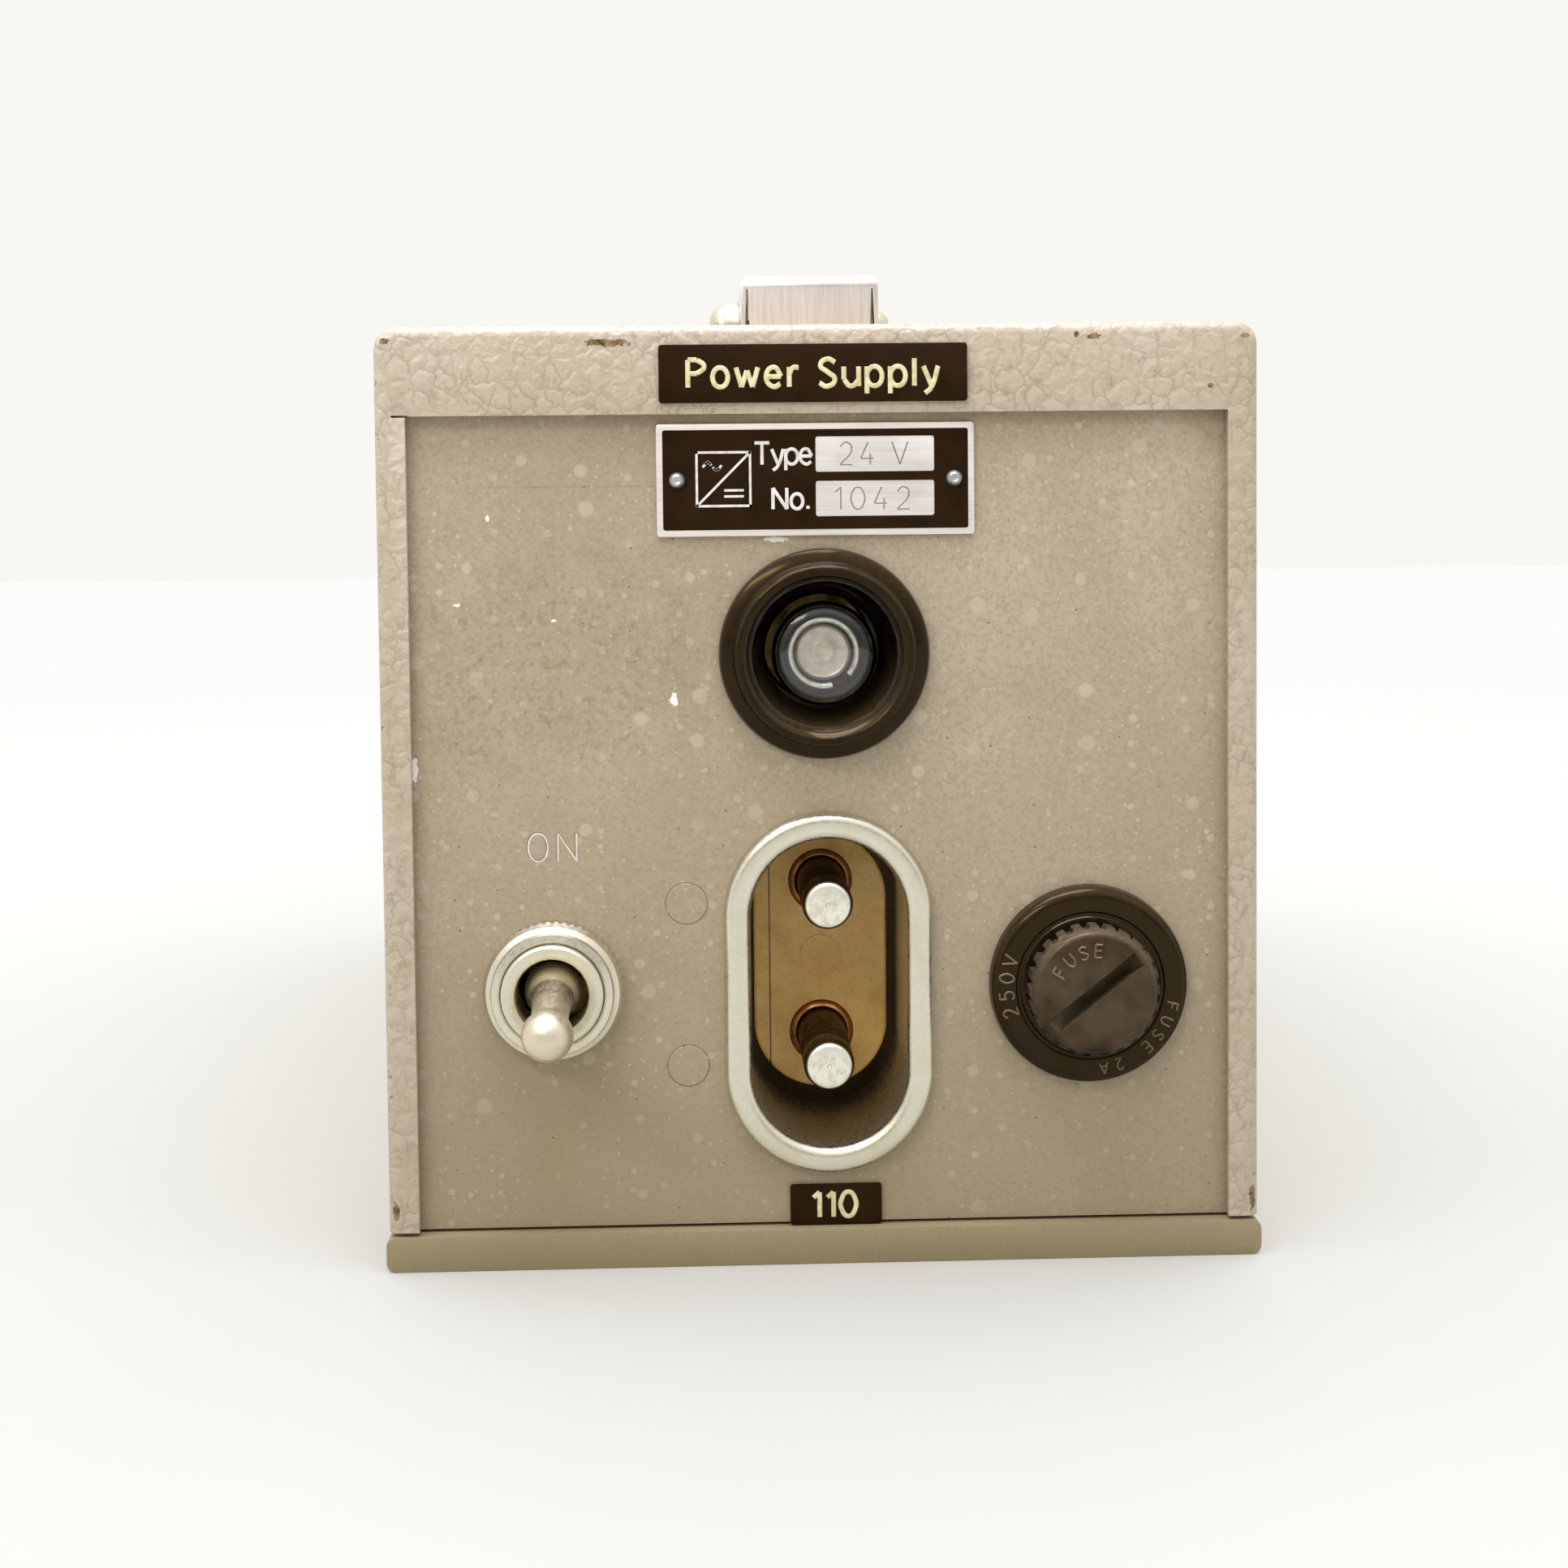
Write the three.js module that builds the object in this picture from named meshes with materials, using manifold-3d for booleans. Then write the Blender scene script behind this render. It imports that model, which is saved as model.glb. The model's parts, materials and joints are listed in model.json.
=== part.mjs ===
// Portable mains power-supply unit: a hammer-finished steel case with its control panel at the front.
// Millimetres, +X right, +Y away from the control panel, +Z up. The origin is the middle of the underside.

import * as THREE from "three";
import { mergeVertices } from "three/addons/utils/BufferGeometryUtils.js";
import Module from "manifold-3d";

const wasm = await Module();
wasm.setup();

// ---- driving dimensions -------------------------------------------------------------------------------

const LENGTH = 225; // front to back
const BASE = { width: 103, thickness: 4.2, corner: 1.1 };
const HOOD = { width: 102.4, top: 110, sheet: 1.2, corner: 2.6, topLip: 10.3, sideLip: 3.6, footLip: 9 };
const PANEL = { recess: 1.8, thickness: 2 };
const REST_GAP = 0.05; // between flat faces that rest on each other
const CUT_GAP = 0.3; // round a piece that passes through a hole

const FRONT = -LENGTH / 2;
const PANEL_FACE = FRONT + PANEL.recess;
const PANEL_BACK = PANEL_FACE + PANEL.thickness;
const FLOOR = BASE.thickness + REST_GAP; // what stands on the base plate starts here

// Centres on the control panel, as [x, z].
const LAMP = [0.4, 71.8];
const INLET = [0.6, 31.9];
const FUSE = [31.2, 32.5];
const SWITCH = [-31.6, 32.9];
const RIVETS = [[-16, 42.6], [-16, 23.4]];
const RATING = { centre: [-0.4, 92.1], width: 37, height: 13.1, thickness: 0.6, rivets: [-16.5, 15.7] };
const HOOD_LABEL = { centre: [-0.65, 104.3], width: 35.6, height: 6.7, thickness: 0.5 };
const VOLT_LABEL = { centre: [1.2, 6.7], width: 10.8, height: 4.8, thickness: 0.5 };

const BEZEL_RADIUS = 12.3;
const BULB_RADIUS = 6.15;
const COLLAR = { rimWidth: 24.5, rimHeight: 42.6, openWidth: 18.8, openHeight: 36.9, depth: 21, wall: 0.9 };
const PIN = { radius: 3, spacing: 19.1, tip: -0.2 }; // tip: distance of the pin tips behind the panel face
const FUSE_HOLDER = { flange: 11.7, cap: 7.6, barrel: 7, capReach: 6.5, depth: 34 };
const RING_NUT = 8.2;
const TOGGLE = { ball: 3.4, reach: 12, droop: 13 }; // droop: degrees below level at rest
const CAP = { width: 17, length: 22, height: 7.7, setback: 20, sheet: 1 };
const STRAP = { width: 12.4, thickness: 3, grip: 36, link: 50 };

// ---- solids --------------------------------------------------------------------------------------------

// A geometry with merged corners, no collapsed triangles and its faces pointing out.
function tidy(geometry) {
  let bare = geometry.clone();
  bare.deleteAttribute("normal");
  if (bare.attributes.uv) bare.deleteAttribute("uv");
  if (!bare.index) {
    bare.setIndex([...Array(bare.attributes.position.count).keys()]);
  }
  bare = mergeVertices(bare, 1e-4);
  const place = bare.attributes.position;
  const corners = [];
  let volume = 0;
  const [a, b, c] = [new THREE.Vector3(), new THREE.Vector3(), new THREE.Vector3()];
  for (let i = 0; i < bare.index.count; i += 3) {
    const face = [bare.index.getX(i), bare.index.getX(i + 1), bare.index.getX(i + 2)];
    if (new Set(face).size < 3) continue;
    corners.push(...face);
    a.fromBufferAttribute(place, face[0]);
    b.fromBufferAttribute(place, face[1]);
    c.fromBufferAttribute(place, face[2]);
    volume += a.dot(b.cross(c));
  }
  if (volume < 0) {
    for (let i = 0; i < corners.length; i += 3) {
      [corners[i], corners[i + 1]] = [corners[i + 1], corners[i]];
    }
  }
  bare.setIndex(corners);
  return bare;
}

function solid(geometry) {
  const closed = tidy(geometry);
  return new wasm.Manifold(new wasm.Mesh({
    numProp: 3,
    vertProperties: new Float32Array(closed.attributes.position.array),
    triVerts: new Uint32Array(closed.index.array),
  }));
}

function geometryOf(manifold) {
  const mesh = manifold.getMesh();
  const geometry = new THREE.BufferGeometry();
  geometry.setAttribute("position", new THREE.BufferAttribute(mesh.vertProperties, 3));
  geometry.setIndex(new THREE.BufferAttribute(mesh.triVerts, 1));
  return geometry;
}

// The first geometry with the others cut away from it.
function cut(body, ...tools) {
  let result = solid(body);
  for (const tool of tools) result = result.subtract(solid(tool));
  return geometryOf(result);
}

// All the geometries joined into one.
function join(first, ...others) {
  let result = solid(first);
  for (const other of others) result = result.add(solid(other));
  return geometryOf(result);
}

// A rectangular block between two corners on each axis.
function block([x0, x1], [y0, y1], [z0, z1]) {
  const geometry = new THREE.BoxGeometry(x1 - x0, y1 - y0, z1 - z0);
  return geometry.translate((x0 + x1) / 2, (y0 + y1) / 2, (z0 + z1) / 2);
}

// An outline drawn in the X-Z plane, pushed along Y.
function alongY(shape, y0, y1, curveSegments = 10) {
  const geometry = new THREE.ExtrudeGeometry(shape, { depth: y1 - y0, bevelEnabled: false, curveSegments });
  return geometry.rotateX(Math.PI / 2).translate(0, y1, 0);
}

// A turned piece on a Y axis through (x, z). The profile is [radius, y] pairs.
function turnedY(profile, [x, z], segments = 32) {
  const points = profile.map(([r, y]) => new THREE.Vector2(r, y));
  return new THREE.LatheGeometry(points, segments).translate(x, 0, z);
}

// A turned piece on a vertical axis through (x, y). The profile is [radius, z] pairs.
function turnedZ(profile, [x, y], segments = 20) {
  const points = profile.map(([r, z]) => new THREE.Vector2(r, z));
  return new THREE.LatheGeometry(points, segments).rotateX(Math.PI / 2).translate(x, y, 0);
}

// A turned piece on an X axis through (y, z). The profile is [radius, x] pairs.
function turnedX(profile, [y, z], segments = 20) {
  const points = profile.map(([r, x]) => new THREE.Vector2(r, x));
  return new THREE.LatheGeometry(points, segments).rotateZ(-Math.PI / 2).translate(0, y, z);
}

function rodY(radius, y0, y1, centre, segments = 24) {
  return turnedY([[0, y0], [radius, y0], [radius, y1], [0, y1]], centre, segments);
}

function rodZ(radius, z0, z1, centre, segments = 20) {
  return turnedZ([[0, z0], [radius, z0], [radius, z1], [0, z1]], centre, segments);
}

function rectangle(width, height, x = 0, z = 0) {
  const shape = new THREE.Shape();
  shape.moveTo(x - width / 2, z - height / 2);
  shape.lineTo(x + width / 2, z - height / 2);
  shape.lineTo(x + width / 2, z + height / 2);
  shape.lineTo(x - width / 2, z + height / 2);
  return shape;
}

// An upright stadium: two half circles joined by straight sides.
function stadium(width, height, [x, z]) {
  const r = width / 2;
  const straight = height / 2 - r;
  const shape = new THREE.Shape();
  shape.absarc(x, z + straight, r, 0, Math.PI, false);
  shape.absarc(x, z - straight, r, Math.PI, 2 * Math.PI, false);
  return shape;
}

// A rectangle standing on z = low, with its two top corners rounded.
function arch(width, low, top, r) {
  const shape = new THREE.Shape();
  shape.moveTo(-width / 2, low);
  shape.lineTo(width / 2, low);
  shape.absarc(width / 2 - r, top - r, r, 0, Math.PI / 2, false);
  shape.absarc(-width / 2 + r, top - r, r, Math.PI / 2, Math.PI, false);
  return shape;
}

function roundedRectangle(width, height, r, z = 0) {
  const [w, h] = [width / 2 - r, height / 2 - r];
  const shape = new THREE.Shape();
  shape.absarc(w, z - h, r, -Math.PI / 2, 0, false);
  shape.absarc(w, z + h, r, 0, Math.PI / 2, false);
  shape.absarc(-w, z + h, r, Math.PI / 2, Math.PI, false);
  shape.absarc(-w, z - h, r, Math.PI, 1.5 * Math.PI, false);
  return shape;
}

// ---- finishes ------------------------------------------------------------------------------------------

const finish = (color, roughness, metalness) => new THREE.MeshStandardMaterial({ color, roughness, metalness });
const HAMMER = finish(0xccbda8, 0.5, 0.1);
const PAINT = finish(0xae9e84, 0.65, 0.05);
const BAKELITE = finish(0x16120f, 0.2, 0);
const NICKEL = finish(0xcfcabb, 0.3, 1);
const STEEL = finish(0x9a9a98, 0.4, 1);
const BRASS = finish(0xb08d4c, 0.35, 1);
const COPPER = finish(0xa8683c, 0.4, 0.9);
const HARD_PAPER = finish(0xa8824a, 0.55, 0);
const LABEL = finish(0x2a1c12, 0.5, 0.1);
const PLATE = finish(0xb9b4ae, 0.35, 0.9);
const GLASS = finish(0xdfe6e8, 0.05, 0);
const IRON = finish(0x3c3a38, 0.6, 0.6);
const ALUMINIUM = finish(0xb8babb, 0.4, 1);
const STRAP_COVER = finish(0x1d1b1a, 0.5, 0);
const CERAMIC = finish(0xe6e0d2, 0.4, 0);

const unit = new THREE.Group();

function add(name, geometry, material) {
  const mesh = new THREE.Mesh(tidy(geometry), material);
  mesh.name = name;
  unit.add(mesh);
  return mesh;
}

// ---- case ----------------------------------------------------------------------------------------------

const CASE_SCREWS = [[-46.5, -85], [46.5, -85], [-46.5, 85], [46.5, 85]];
const SCREW = { shank: 1.5, head: 3, headDepth: 1.6, length: 8 };
const HOOD_FOOT = BASE.thickness + 0.45; // lower edge of the hood

function basePlate() {
  const plate = alongY(roundedRectangle(BASE.width, BASE.thickness, BASE.corner, BASE.thickness / 2),
    FRONT, -FRONT, 5);
  const wide = SCREW.shank + CUT_GAP;
  const sink = SCREW.head + CUT_GAP;
  const holes = CASE_SCREWS.map((place) => turnedZ(
    [[0, -1], [sink, -1], [sink, 0.3], [wide, 0.3 + SCREW.headDepth], [wide, 10], [0, 10]], place, 12));
  return cut(plate, ...holes);
}

function caseScrew(place) {
  const { shank, head, headDepth, length } = SCREW;
  return turnedZ([[0, 0.2], [head, 0.2], [shank, 0.2 + headDepth], [shank, length], [0, length]], place, 12);
}

// One folded sheet: top and sides, a lip round both ends and an inturned foot along each side. The feet stop
// short of the two panels.
function hood() {
  const { width, top, sheet, corner, topLip, sideLip, footLip } = HOOD;
  const within = width - 2 * sheet;
  const outside = alongY(arch(width, HOOD_FOOT, top, corner), FRONT, -FRONT, 6);
  const inside = alongY(arch(within, HOOD_FOOT + sheet, top - sheet, corner - sheet),
    FRONT + sheet, -FRONT - sheet, 6);
  const window = arch(width - 2 * sideLip, 0, top - topLip, 0.8);
  const windows = [[FRONT - 1, FRONT + sheet + 1], [-FRONT - sheet - 1, -FRONT + 1]]
    .map(([near, far]) => alongY(window, near, far, 4));
  const footEnds = [[FRONT + sheet, PANEL_BACK + 1], [-PANEL_BACK - 1, -FRONT - sheet]]
    .map((span) => block([-within / 2, within / 2], span, [0, HOOD_FOOT + sheet + 1]));
  const underside = block([-width / 2 + footLip, width / 2 - footLip], [FRONT - 1, -FRONT + 1], [0, 10]);
  const screwHoles = CASE_SCREWS.map((place) => rodZ(SCREW.shank + CUT_GAP, 0, 9, place, 12));
  return cut(outside, inside, underside, ...windows, ...footEnds, ...screwHoles, ...capTabs(CUT_GAP));
}

// A flat panel with a shelf bent back from its lower edge, which stands on the base plate.
function panelBlank(face, back) {
  const { width, top, sheet, corner, footLip } = HOOD;
  const inner = width - 2 * sheet - 2 * CUT_GAP;
  const inward = Math.sign(back - face);
  const sheetSpan = [face, back].sort((a, b) => a - b);
  const shelfSpan = [back - inward * 0.5, back + inward * 12].sort((a, b) => a - b);
  const upright = alongY(arch(inner, FLOOR + CUT_GAP, top - sheet - CUT_GAP, corner - sheet), ...sheetSpan, 4);
  const shelf = block([-inner / 2 + footLip, inner / 2 - footLip], shelfSpan, [FLOOR, FLOOR + PANEL.thickness]);
  return join(upright, shelf);
}

function frontPanel() {
  const [y0, y1] = [PANEL_FACE - 1, PANEL_BACK + 1];
  const { openWidth, openHeight, wall } = COLLAR;
  const holes = [
    rodY(9 + CUT_GAP, y0, y1, LAMP, 24),
    alongY(stadium(openWidth + 2 * (wall + CUT_GAP), openHeight + 2 * (wall + CUT_GAP), INLET), y0, y1, 10),
    rodY(FUSE_HOLDER.barrel + CUT_GAP, y0, y1, FUSE, 28),
    rodY(6 + CUT_GAP, y0, y1, SWITCH, 24),
    ...RIVETS.map((place) => flushRivet(place, CUT_GAP / 2)),
    ...RATING.rivets.map((x) => rodY(0.75, y0, y1, [x, RATING.centre[1]], 8)),
  ];
  return cut(panelBlank(PANEL_FACE, PANEL_BACK), ...holes);
}

function rearPanel() {
  const [y0, y1] = [-PANEL_BACK - 1, -PANEL_FACE + 1];
  const holes = SOCKETS.map(({ centre, barrel }) => rodY(barrel + CUT_GAP, y0, y1, centre, 24));
  return cut(panelBlank(-PANEL_FACE, -PANEL_BACK), ...holes);
}

// A countersunk rivet whose head finishes flush with the panel.
function flushRivet(place, grow = 0) {
  const [head, shank] = [2.5 + grow, 1.5 + grow];
  const out = grow ? 1 : 0;
  return turnedY([[0, PANEL_FACE - out], [head, PANEL_FACE - out], [head, PANEL_FACE + 0.3],
    [shank, PANEL_FACE + 1.3], [shank, PANEL_BACK + 2.4], [0, PANEL_BACK + 2.4]], place, 20);
}

// ---- labels --------------------------------------------------------------------------------------------

function flatLabel({ centre: [x, z], width, height, thickness }, face) {
  return alongY(rectangle(width, height, x, z), face - REST_GAP - thickness, face - REST_GAP);
}

function ratingPlate() {
  const holes = RATING.rivets.map((x) => rodY(0.75, FRONT - 2, FRONT + 5, [x, RATING.centre[1]], 8));
  return cut(flatLabel(RATING, PANEL_FACE), ...holes);
}

function plateRivet(x) {
  const seat = PANEL_FACE - 2 * REST_GAP - RATING.thickness;
  const dome = [[0, seat - 0.55], [0.6, seat - 0.4], [1, seat]];
  return turnedY([...dome, [0.45, seat], [0.45, PANEL_BACK + 0.5], [0, PANEL_BACK + 0.5]],
    [x, RATING.centre[1]], 12);
}

// ---- pilot lamp ----------------------------------------------------------------------------------------

// A moulded ring with a rounded crest and a cup that falls to the lamp, and a threaded neck behind it.
function lampBezel() {
  const y = PANEL_FACE - REST_GAP;
  const profile = [[BEZEL_RADIUS, y], [BEZEL_RADIUS, y - 1.4], [11.6, y - 2.9], [10.4, y - 3.9], [9.2, y - 3.9],
    [8.5, y - 3], [7.9, y - 0.5], [7.4, y + 4], [7.4, y + 18.5], [9, y + 18.5], [9, y]];
  return turnedY([...profile, profile[0]], LAMP, 32);
}

function lampBulb() {
  const y = PANEL_FACE;
  const [r, wall] = [BULB_RADIUS, 0.5];
  const dome = (radius, nose) => [0, 18, 36, 54, 72, 90].map((degrees) => {
    const angle = THREE.MathUtils.degToRad(degrees);
    return [radius * Math.sin(angle), nose + radius * 0.72 * (1 - Math.cos(angle))];
  });
  const outer = dome(r, y - 2.2);
  const inner = dome(r - wall, y - 2.2 + wall).reverse();
  const stem = 4.3;
  const body = [[r, y + 14], [stem, y + 17.6], [stem, y + 20], [stem - wall, y + 20], [stem - wall, y + 17.8],
    [r - wall, y + 13.8]];
  return turnedY([...outer, ...body, ...inner], LAMP, 24);
}

function electrode(points, support) {
  const ring = new THREE.CatmullRomCurve3(points.map(([x, y, z]) => new THREE.Vector3(x, y, z)));
  const wire = new THREE.Shape().absarc(0, 0, 0.4, 0, 2 * Math.PI, false);
  const bent = new THREE.ExtrudeGeometry(wire, { steps: 28, curveSegments: 3, extrudePath: ring });
  return join(bent, support);
}

// An open ring of wire round the disc, carried on one leg.
function ringElectrode() {
  const y = PANEL_FACE + 1.6;
  const turn = Array.from({ length: 13 }, (_, i) => THREE.MathUtils.degToRad(-20 + i * 25));
  const points = turn.map((angle) => [LAMP[0] + 3.95 * Math.cos(angle), y, LAMP[1] + 3.95 * Math.sin(angle)]);
  const leg = rodY(0.4, y, y + 13, [LAMP[0] - 3.95, LAMP[1]], 8);
  return electrode(points, leg);
}

function discElectrode() {
  const y = PANEL_FACE + 2.4;
  const disc = turnedY([[0, y], [2.9, y], [3.2, y + 0.3], [3.2, y + 0.8], [0, y + 0.8]], LAMP, 24);
  return join(disc, rodY(0.5, y + 0.4, y + 18.6, LAMP, 8));
}

function lampCap() {
  const y = PANEL_FACE + 18.2;
  return turnedY([[0, y + 15.4], [2.4, y + 15.4], [4.75, y + 12], [4.75, y], [6.6, y], [6.6, y + 13],
    [3, y + 17], [0, y + 17]], LAMP, 24);
}

function lampSocket() {
  const y = PANEL_FACE + 18.6;
  return turnedY([[0, y + 17.4], [7, y + 17.4], [7, y], [9, y], [9, y + 22], [0, y + 22]], LAMP, 24);
}

// ---- mains inlet ---------------------------------------------------------------------------------------

const COLLAR_END = PANEL_FACE + COLLAR.depth;
const HOUSING = { depth: 9, width: 22.6, height: 40.6 };
const PIN_CENTRES = [INLET[1] + 0.7 + PIN.spacing / 2, INLET[1] + 0.7 - PIN.spacing / 2].map((z) => [INLET[0], z]);

// A drawn sleeve with a rounded rim that bears on the panel.
function inletCollar() {
  const { rimWidth, rimHeight, openWidth, openHeight, wall } = COLLAR;
  const y = PANEL_FACE - REST_GAP;
  const bead = 1;
  const rim = new THREE.ExtrudeGeometry(stadium(rimWidth - 2 * bead, rimHeight - 2 * bead, INLET),
    { depth: 1.5, bevelThickness: bead, bevelSize: bead, bevelSegments: 2, curveSegments: 10 })
    .rotateX(Math.PI / 2).translate(0, y - bead, 0);
  const rimHalf = cut(rim, block([-60, 60], [y, y + 20], [0, 110]));
  const sleeve = alongY(stadium(openWidth + 2 * wall, openHeight + 2 * wall, INLET), y - 0.5, COLLAR_END, 10);
  const bore = alongY(stadium(openWidth, openHeight, INLET), y - 20, COLLAR_END + 5, 10);
  return cut(join(rimHalf, sleeve), bore);
}

function inletPlate() {
  const shape = stadium(16.6, 32.2, [INLET[0] - 0.1, INLET[1] + 0.3]);
  const y = COLLAR_END - 2.6;
  return cut(alongY(shape, y, COLLAR_END, 12), ...PIN_CENTRES.map((c) => rodY(4, y - 1, COLLAR_END + 1, c, 24)));
}

function inletHousing() {
  const y = COLLAR_END + REST_GAP;
  const body = alongY(stadium(HOUSING.width, HOUSING.height, INLET), y, y + HOUSING.depth, 12);
  return cut(body, ...PIN_CENTRES.map((centre) => rodY(2.3, y - 1, y + HOUSING.depth + 1, centre, 16)));
}

function inletPin(centre) {
  const [tip, seat, end] = [PANEL_FACE + PIN.tip, COLLAR_END - 0.4, COLLAR_END + HOUSING.depth + 6];
  const r = PIN.radius;
  return turnedY([[0, tip], [r - 0.4, tip], [r, tip + 0.4], [r, seat - 3], [3.6, seat - 3], [3.6, seat - 0.2],
    [2, seat - 0.2], [2, end], [0, end]], centre, 24);
}

// A steel angle: its foot is riveted behind the panel and its leg holds the housing.
function inletBracket() {
  const x = INLET[0] - HOUSING.width / 2 - REST_GAP;
  const y = PANEL_BACK + REST_GAP;
  const [low, high] = [RIVETS[1][1] - 5, RIVETS[0][1] + 5];
  const leg = block([x - 1.5, x], [y, COLLAR_END + HOUSING.depth], [low, high]);
  const foot = block([x - 9, x - 0.5], [y, y + 1.5], [low, high]);
  return cut(join(leg, foot), ...RIVETS.map((place) => rodY(1.5 + CUT_GAP, y - 1, y + 5, place, 16)));
}

// ---- fuse holder ---------------------------------------------------------------------------------------

const FUSE_TUBE = { radius: 2.6, length: 20, cap: 5.2 };
const FUSE_START = PANEL_FACE + 1;

function fuseHolderBody() {
  const { flange, barrel, depth } = FUSE_HOLDER;
  const y = PANEL_FACE - REST_GAP;
  const end = y + depth;
  const profile = [[4.6, y - 2.2], [flange - 1.4, y - 2.2], [flange - 0.4, y - 1.7], [flange, y - 0.8],
    [flange, y], [barrel, y], [barrel, end], [1.5, end], [1.5, end - 2], [4.6, end - 2]];
  return turnedY([...profile, profile[0]], FUSE, 30);
}

// A knob with fluted edge, a wide coin slot, and a skirt that grips the fuse.
function fuseCap() {
  const y = PANEL_FACE - REST_GAP - 2.2 - CUT_GAP;
  const { cap, capReach } = FUSE_HOLDER;
  const nose = PANEL_FACE - capReach;
  const profile = [[0, nose], [cap - 2, nose], [cap - 1, nose + 0.4], [cap, nose + 1.6], [cap, y], [4.2, y],
    [4.2, FUSE_START + 5], [3, FUSE_START + 5], [3, FUSE_START - 0.4], [0, FUSE_START - 0.4]];
  const knob = turnedY(profile, FUSE, 36);
  const flutes = Array.from({ length: 18 }, (_, i) => {
    const angle = i * Math.PI / 9;
    const place = [FUSE[0] + (cap + 0.35) * Math.cos(angle), FUSE[1] + (cap + 0.35) * Math.sin(angle)];
    return rodY(0.75, nose - 1, y + 1, place, 6);
  });
  const slot = block([-cap - 1, cap + 1], [nose - 1, nose + 2.6], [-1, 1]);
  slot.rotateY(-THREE.MathUtils.degToRad(38)).translate(FUSE[0], 0, FUSE[1]);
  return cut(knob, ...flutes, slot);
}

function fuseEnd(front) {
  const { radius, length, cap } = FUSE_TUBE;
  const y = front ? FUSE_START : FUSE_START + length;
  const inward = front ? 1 : -1;
  return turnedY([[0, y], [radius, y], [radius, y + inward * cap], [radius - 0.35, y + inward * cap],
    [radius - 0.35, y + inward * 0.5], [0, y + inward * 0.5]], FUSE, 20);
}

function fuseGlass() {
  const { length } = FUSE_TUBE;
  const [start, end, r] = [FUSE_START + 0.8, FUSE_START + length - 0.8, 1.95];
  return turnedY([[r - 0.7, start], [r, start], [r, end], [r - 0.7, end], [r - 0.7, start]], FUSE, 16);
}

function fuseBackNut() {
  const y = PANEL_BACK + REST_GAP;
  const nut = turnedY([[0, y], [10, y], [10, y + 4], [0, y + 4]], FUSE, 6);
  return cut(nut, rodY(FUSE_HOLDER.barrel + CUT_GAP, y - 1, y + 6, FUSE, 28));
}

function fuseContact() {
  const y = FUSE_START + FUSE_TUBE.length + 0.4;
  const end = PANEL_FACE + FUSE_HOLDER.depth + 8;
  return turnedY([[0, y], [2.6, y], [2.6, y + 1], [1.1, y + 1], [1.1, end], [0, end]], FUSE, 14);
}

// ---- toggle switch -------------------------------------------------------------------------------------

const BALL_Y = PANEL_FACE - 1.2;
const SWITCH_BODY = { width: 17, height: 25, depth: 18, wall: 1.6 };
const SWITCH_BACK = PANEL_BACK + 3.4;
const TERMINALS = [8, -8]; // heights of the two terminals from the switch's axis
const ROCKER_Y = BALL_Y + 14.5;
const ROCKER_TILT = -8;

function ringNut() {
  const y = PANEL_FACE - REST_GAP;
  const profile = [[6.3, y - 4.2], [6.9, y - 4.2], [7.3, y - 3.2], [RING_NUT - 0.3, y - 3], [RING_NUT, y - 2.6],
    [RING_NUT, y - 0.4], [RING_NUT - 0.3, y], [6.3, y]];
  return turnedY([...profile, profile[0]], SWITCH, 36);
}

function switchBush() {
  const [near, far] = [PANEL_FACE - 4.9, SWITCH_BACK - REST_GAP];
  const profile = [[4.2, near + 0.4], [4.6, near], [5.5, near], [6, near + 0.5], [6, far], [5, far], [5, BALL_Y + 3.6],
    [4.2, BALL_Y + 2]];
  return turnedY([...profile, profile[0]], SWITCH, 28);
}

// Built level and pointing to the front, then turned down about the centre of its ball.
function switchLever() {
  const { ball, reach, droop } = TOGGLE;
  const arc = [50, 70, 90, 110, 130, 150].map((degrees) => {
    const angle = THREE.MathUtils.degToRad(degrees);
    return [ball * Math.sin(angle), -ball * Math.cos(angle)];
  });
  const knob = [0, 30, 60, 90, 115, 135].map((degrees) => {
    const angle = THREE.MathUtils.degToRad(degrees);
    return [2.8 * Math.sin(angle), 2.8 * (1 - Math.cos(angle)) - reach - 2.8];
  });
  const profile = [...knob, [1.9, -reach + 3.6], [2.2, -3.4], ...arc, [1.4, 3.4], [1.2, 9], [0, 9]];
  return turnedY(profile, [0, 0], 20).rotateX(THREE.MathUtils.degToRad(droop)).translate(SWITCH[0], BALL_Y, SWITCH[1]);
}

function switchBody() {
  const { width, height, depth, wall } = SWITCH_BODY;
  const [x, z] = SWITCH;
  const far = SWITCH_BACK + depth;
  const box = block([x - width / 2, x + width / 2], [SWITCH_BACK, far], [z - height / 2, z + height / 2]);
  const hollow = block([x - width / 2 + wall, x + width / 2 - wall], [SWITCH_BACK + wall, far - wall],
    [z - height / 2 + wall, z + height / 2 - wall]);
  const holes = TERMINALS.map((dz) => rodY(1.3, far - 5, far + 5, [x, z + dz], 12));
  return cut(box, hollow, rodY(5, SWITCH_BACK - 2, SWITCH_BACK + 4, SWITCH, 20), ...holes);
}

function switchTerminal(dz) {
  const [near, far] = [SWITCH_BACK + SWITCH_BODY.depth - SWITCH_BODY.wall, SWITCH_BACK + SWITCH_BODY.depth];
  const centre = [SWITCH[0], SWITCH[1] + dz];
  const face = near - 6.2;
  return join(rodY(1, face, far + 7, centre, 10), rodY(2.2, face, face + 1.3, centre, 12));
}

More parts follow.
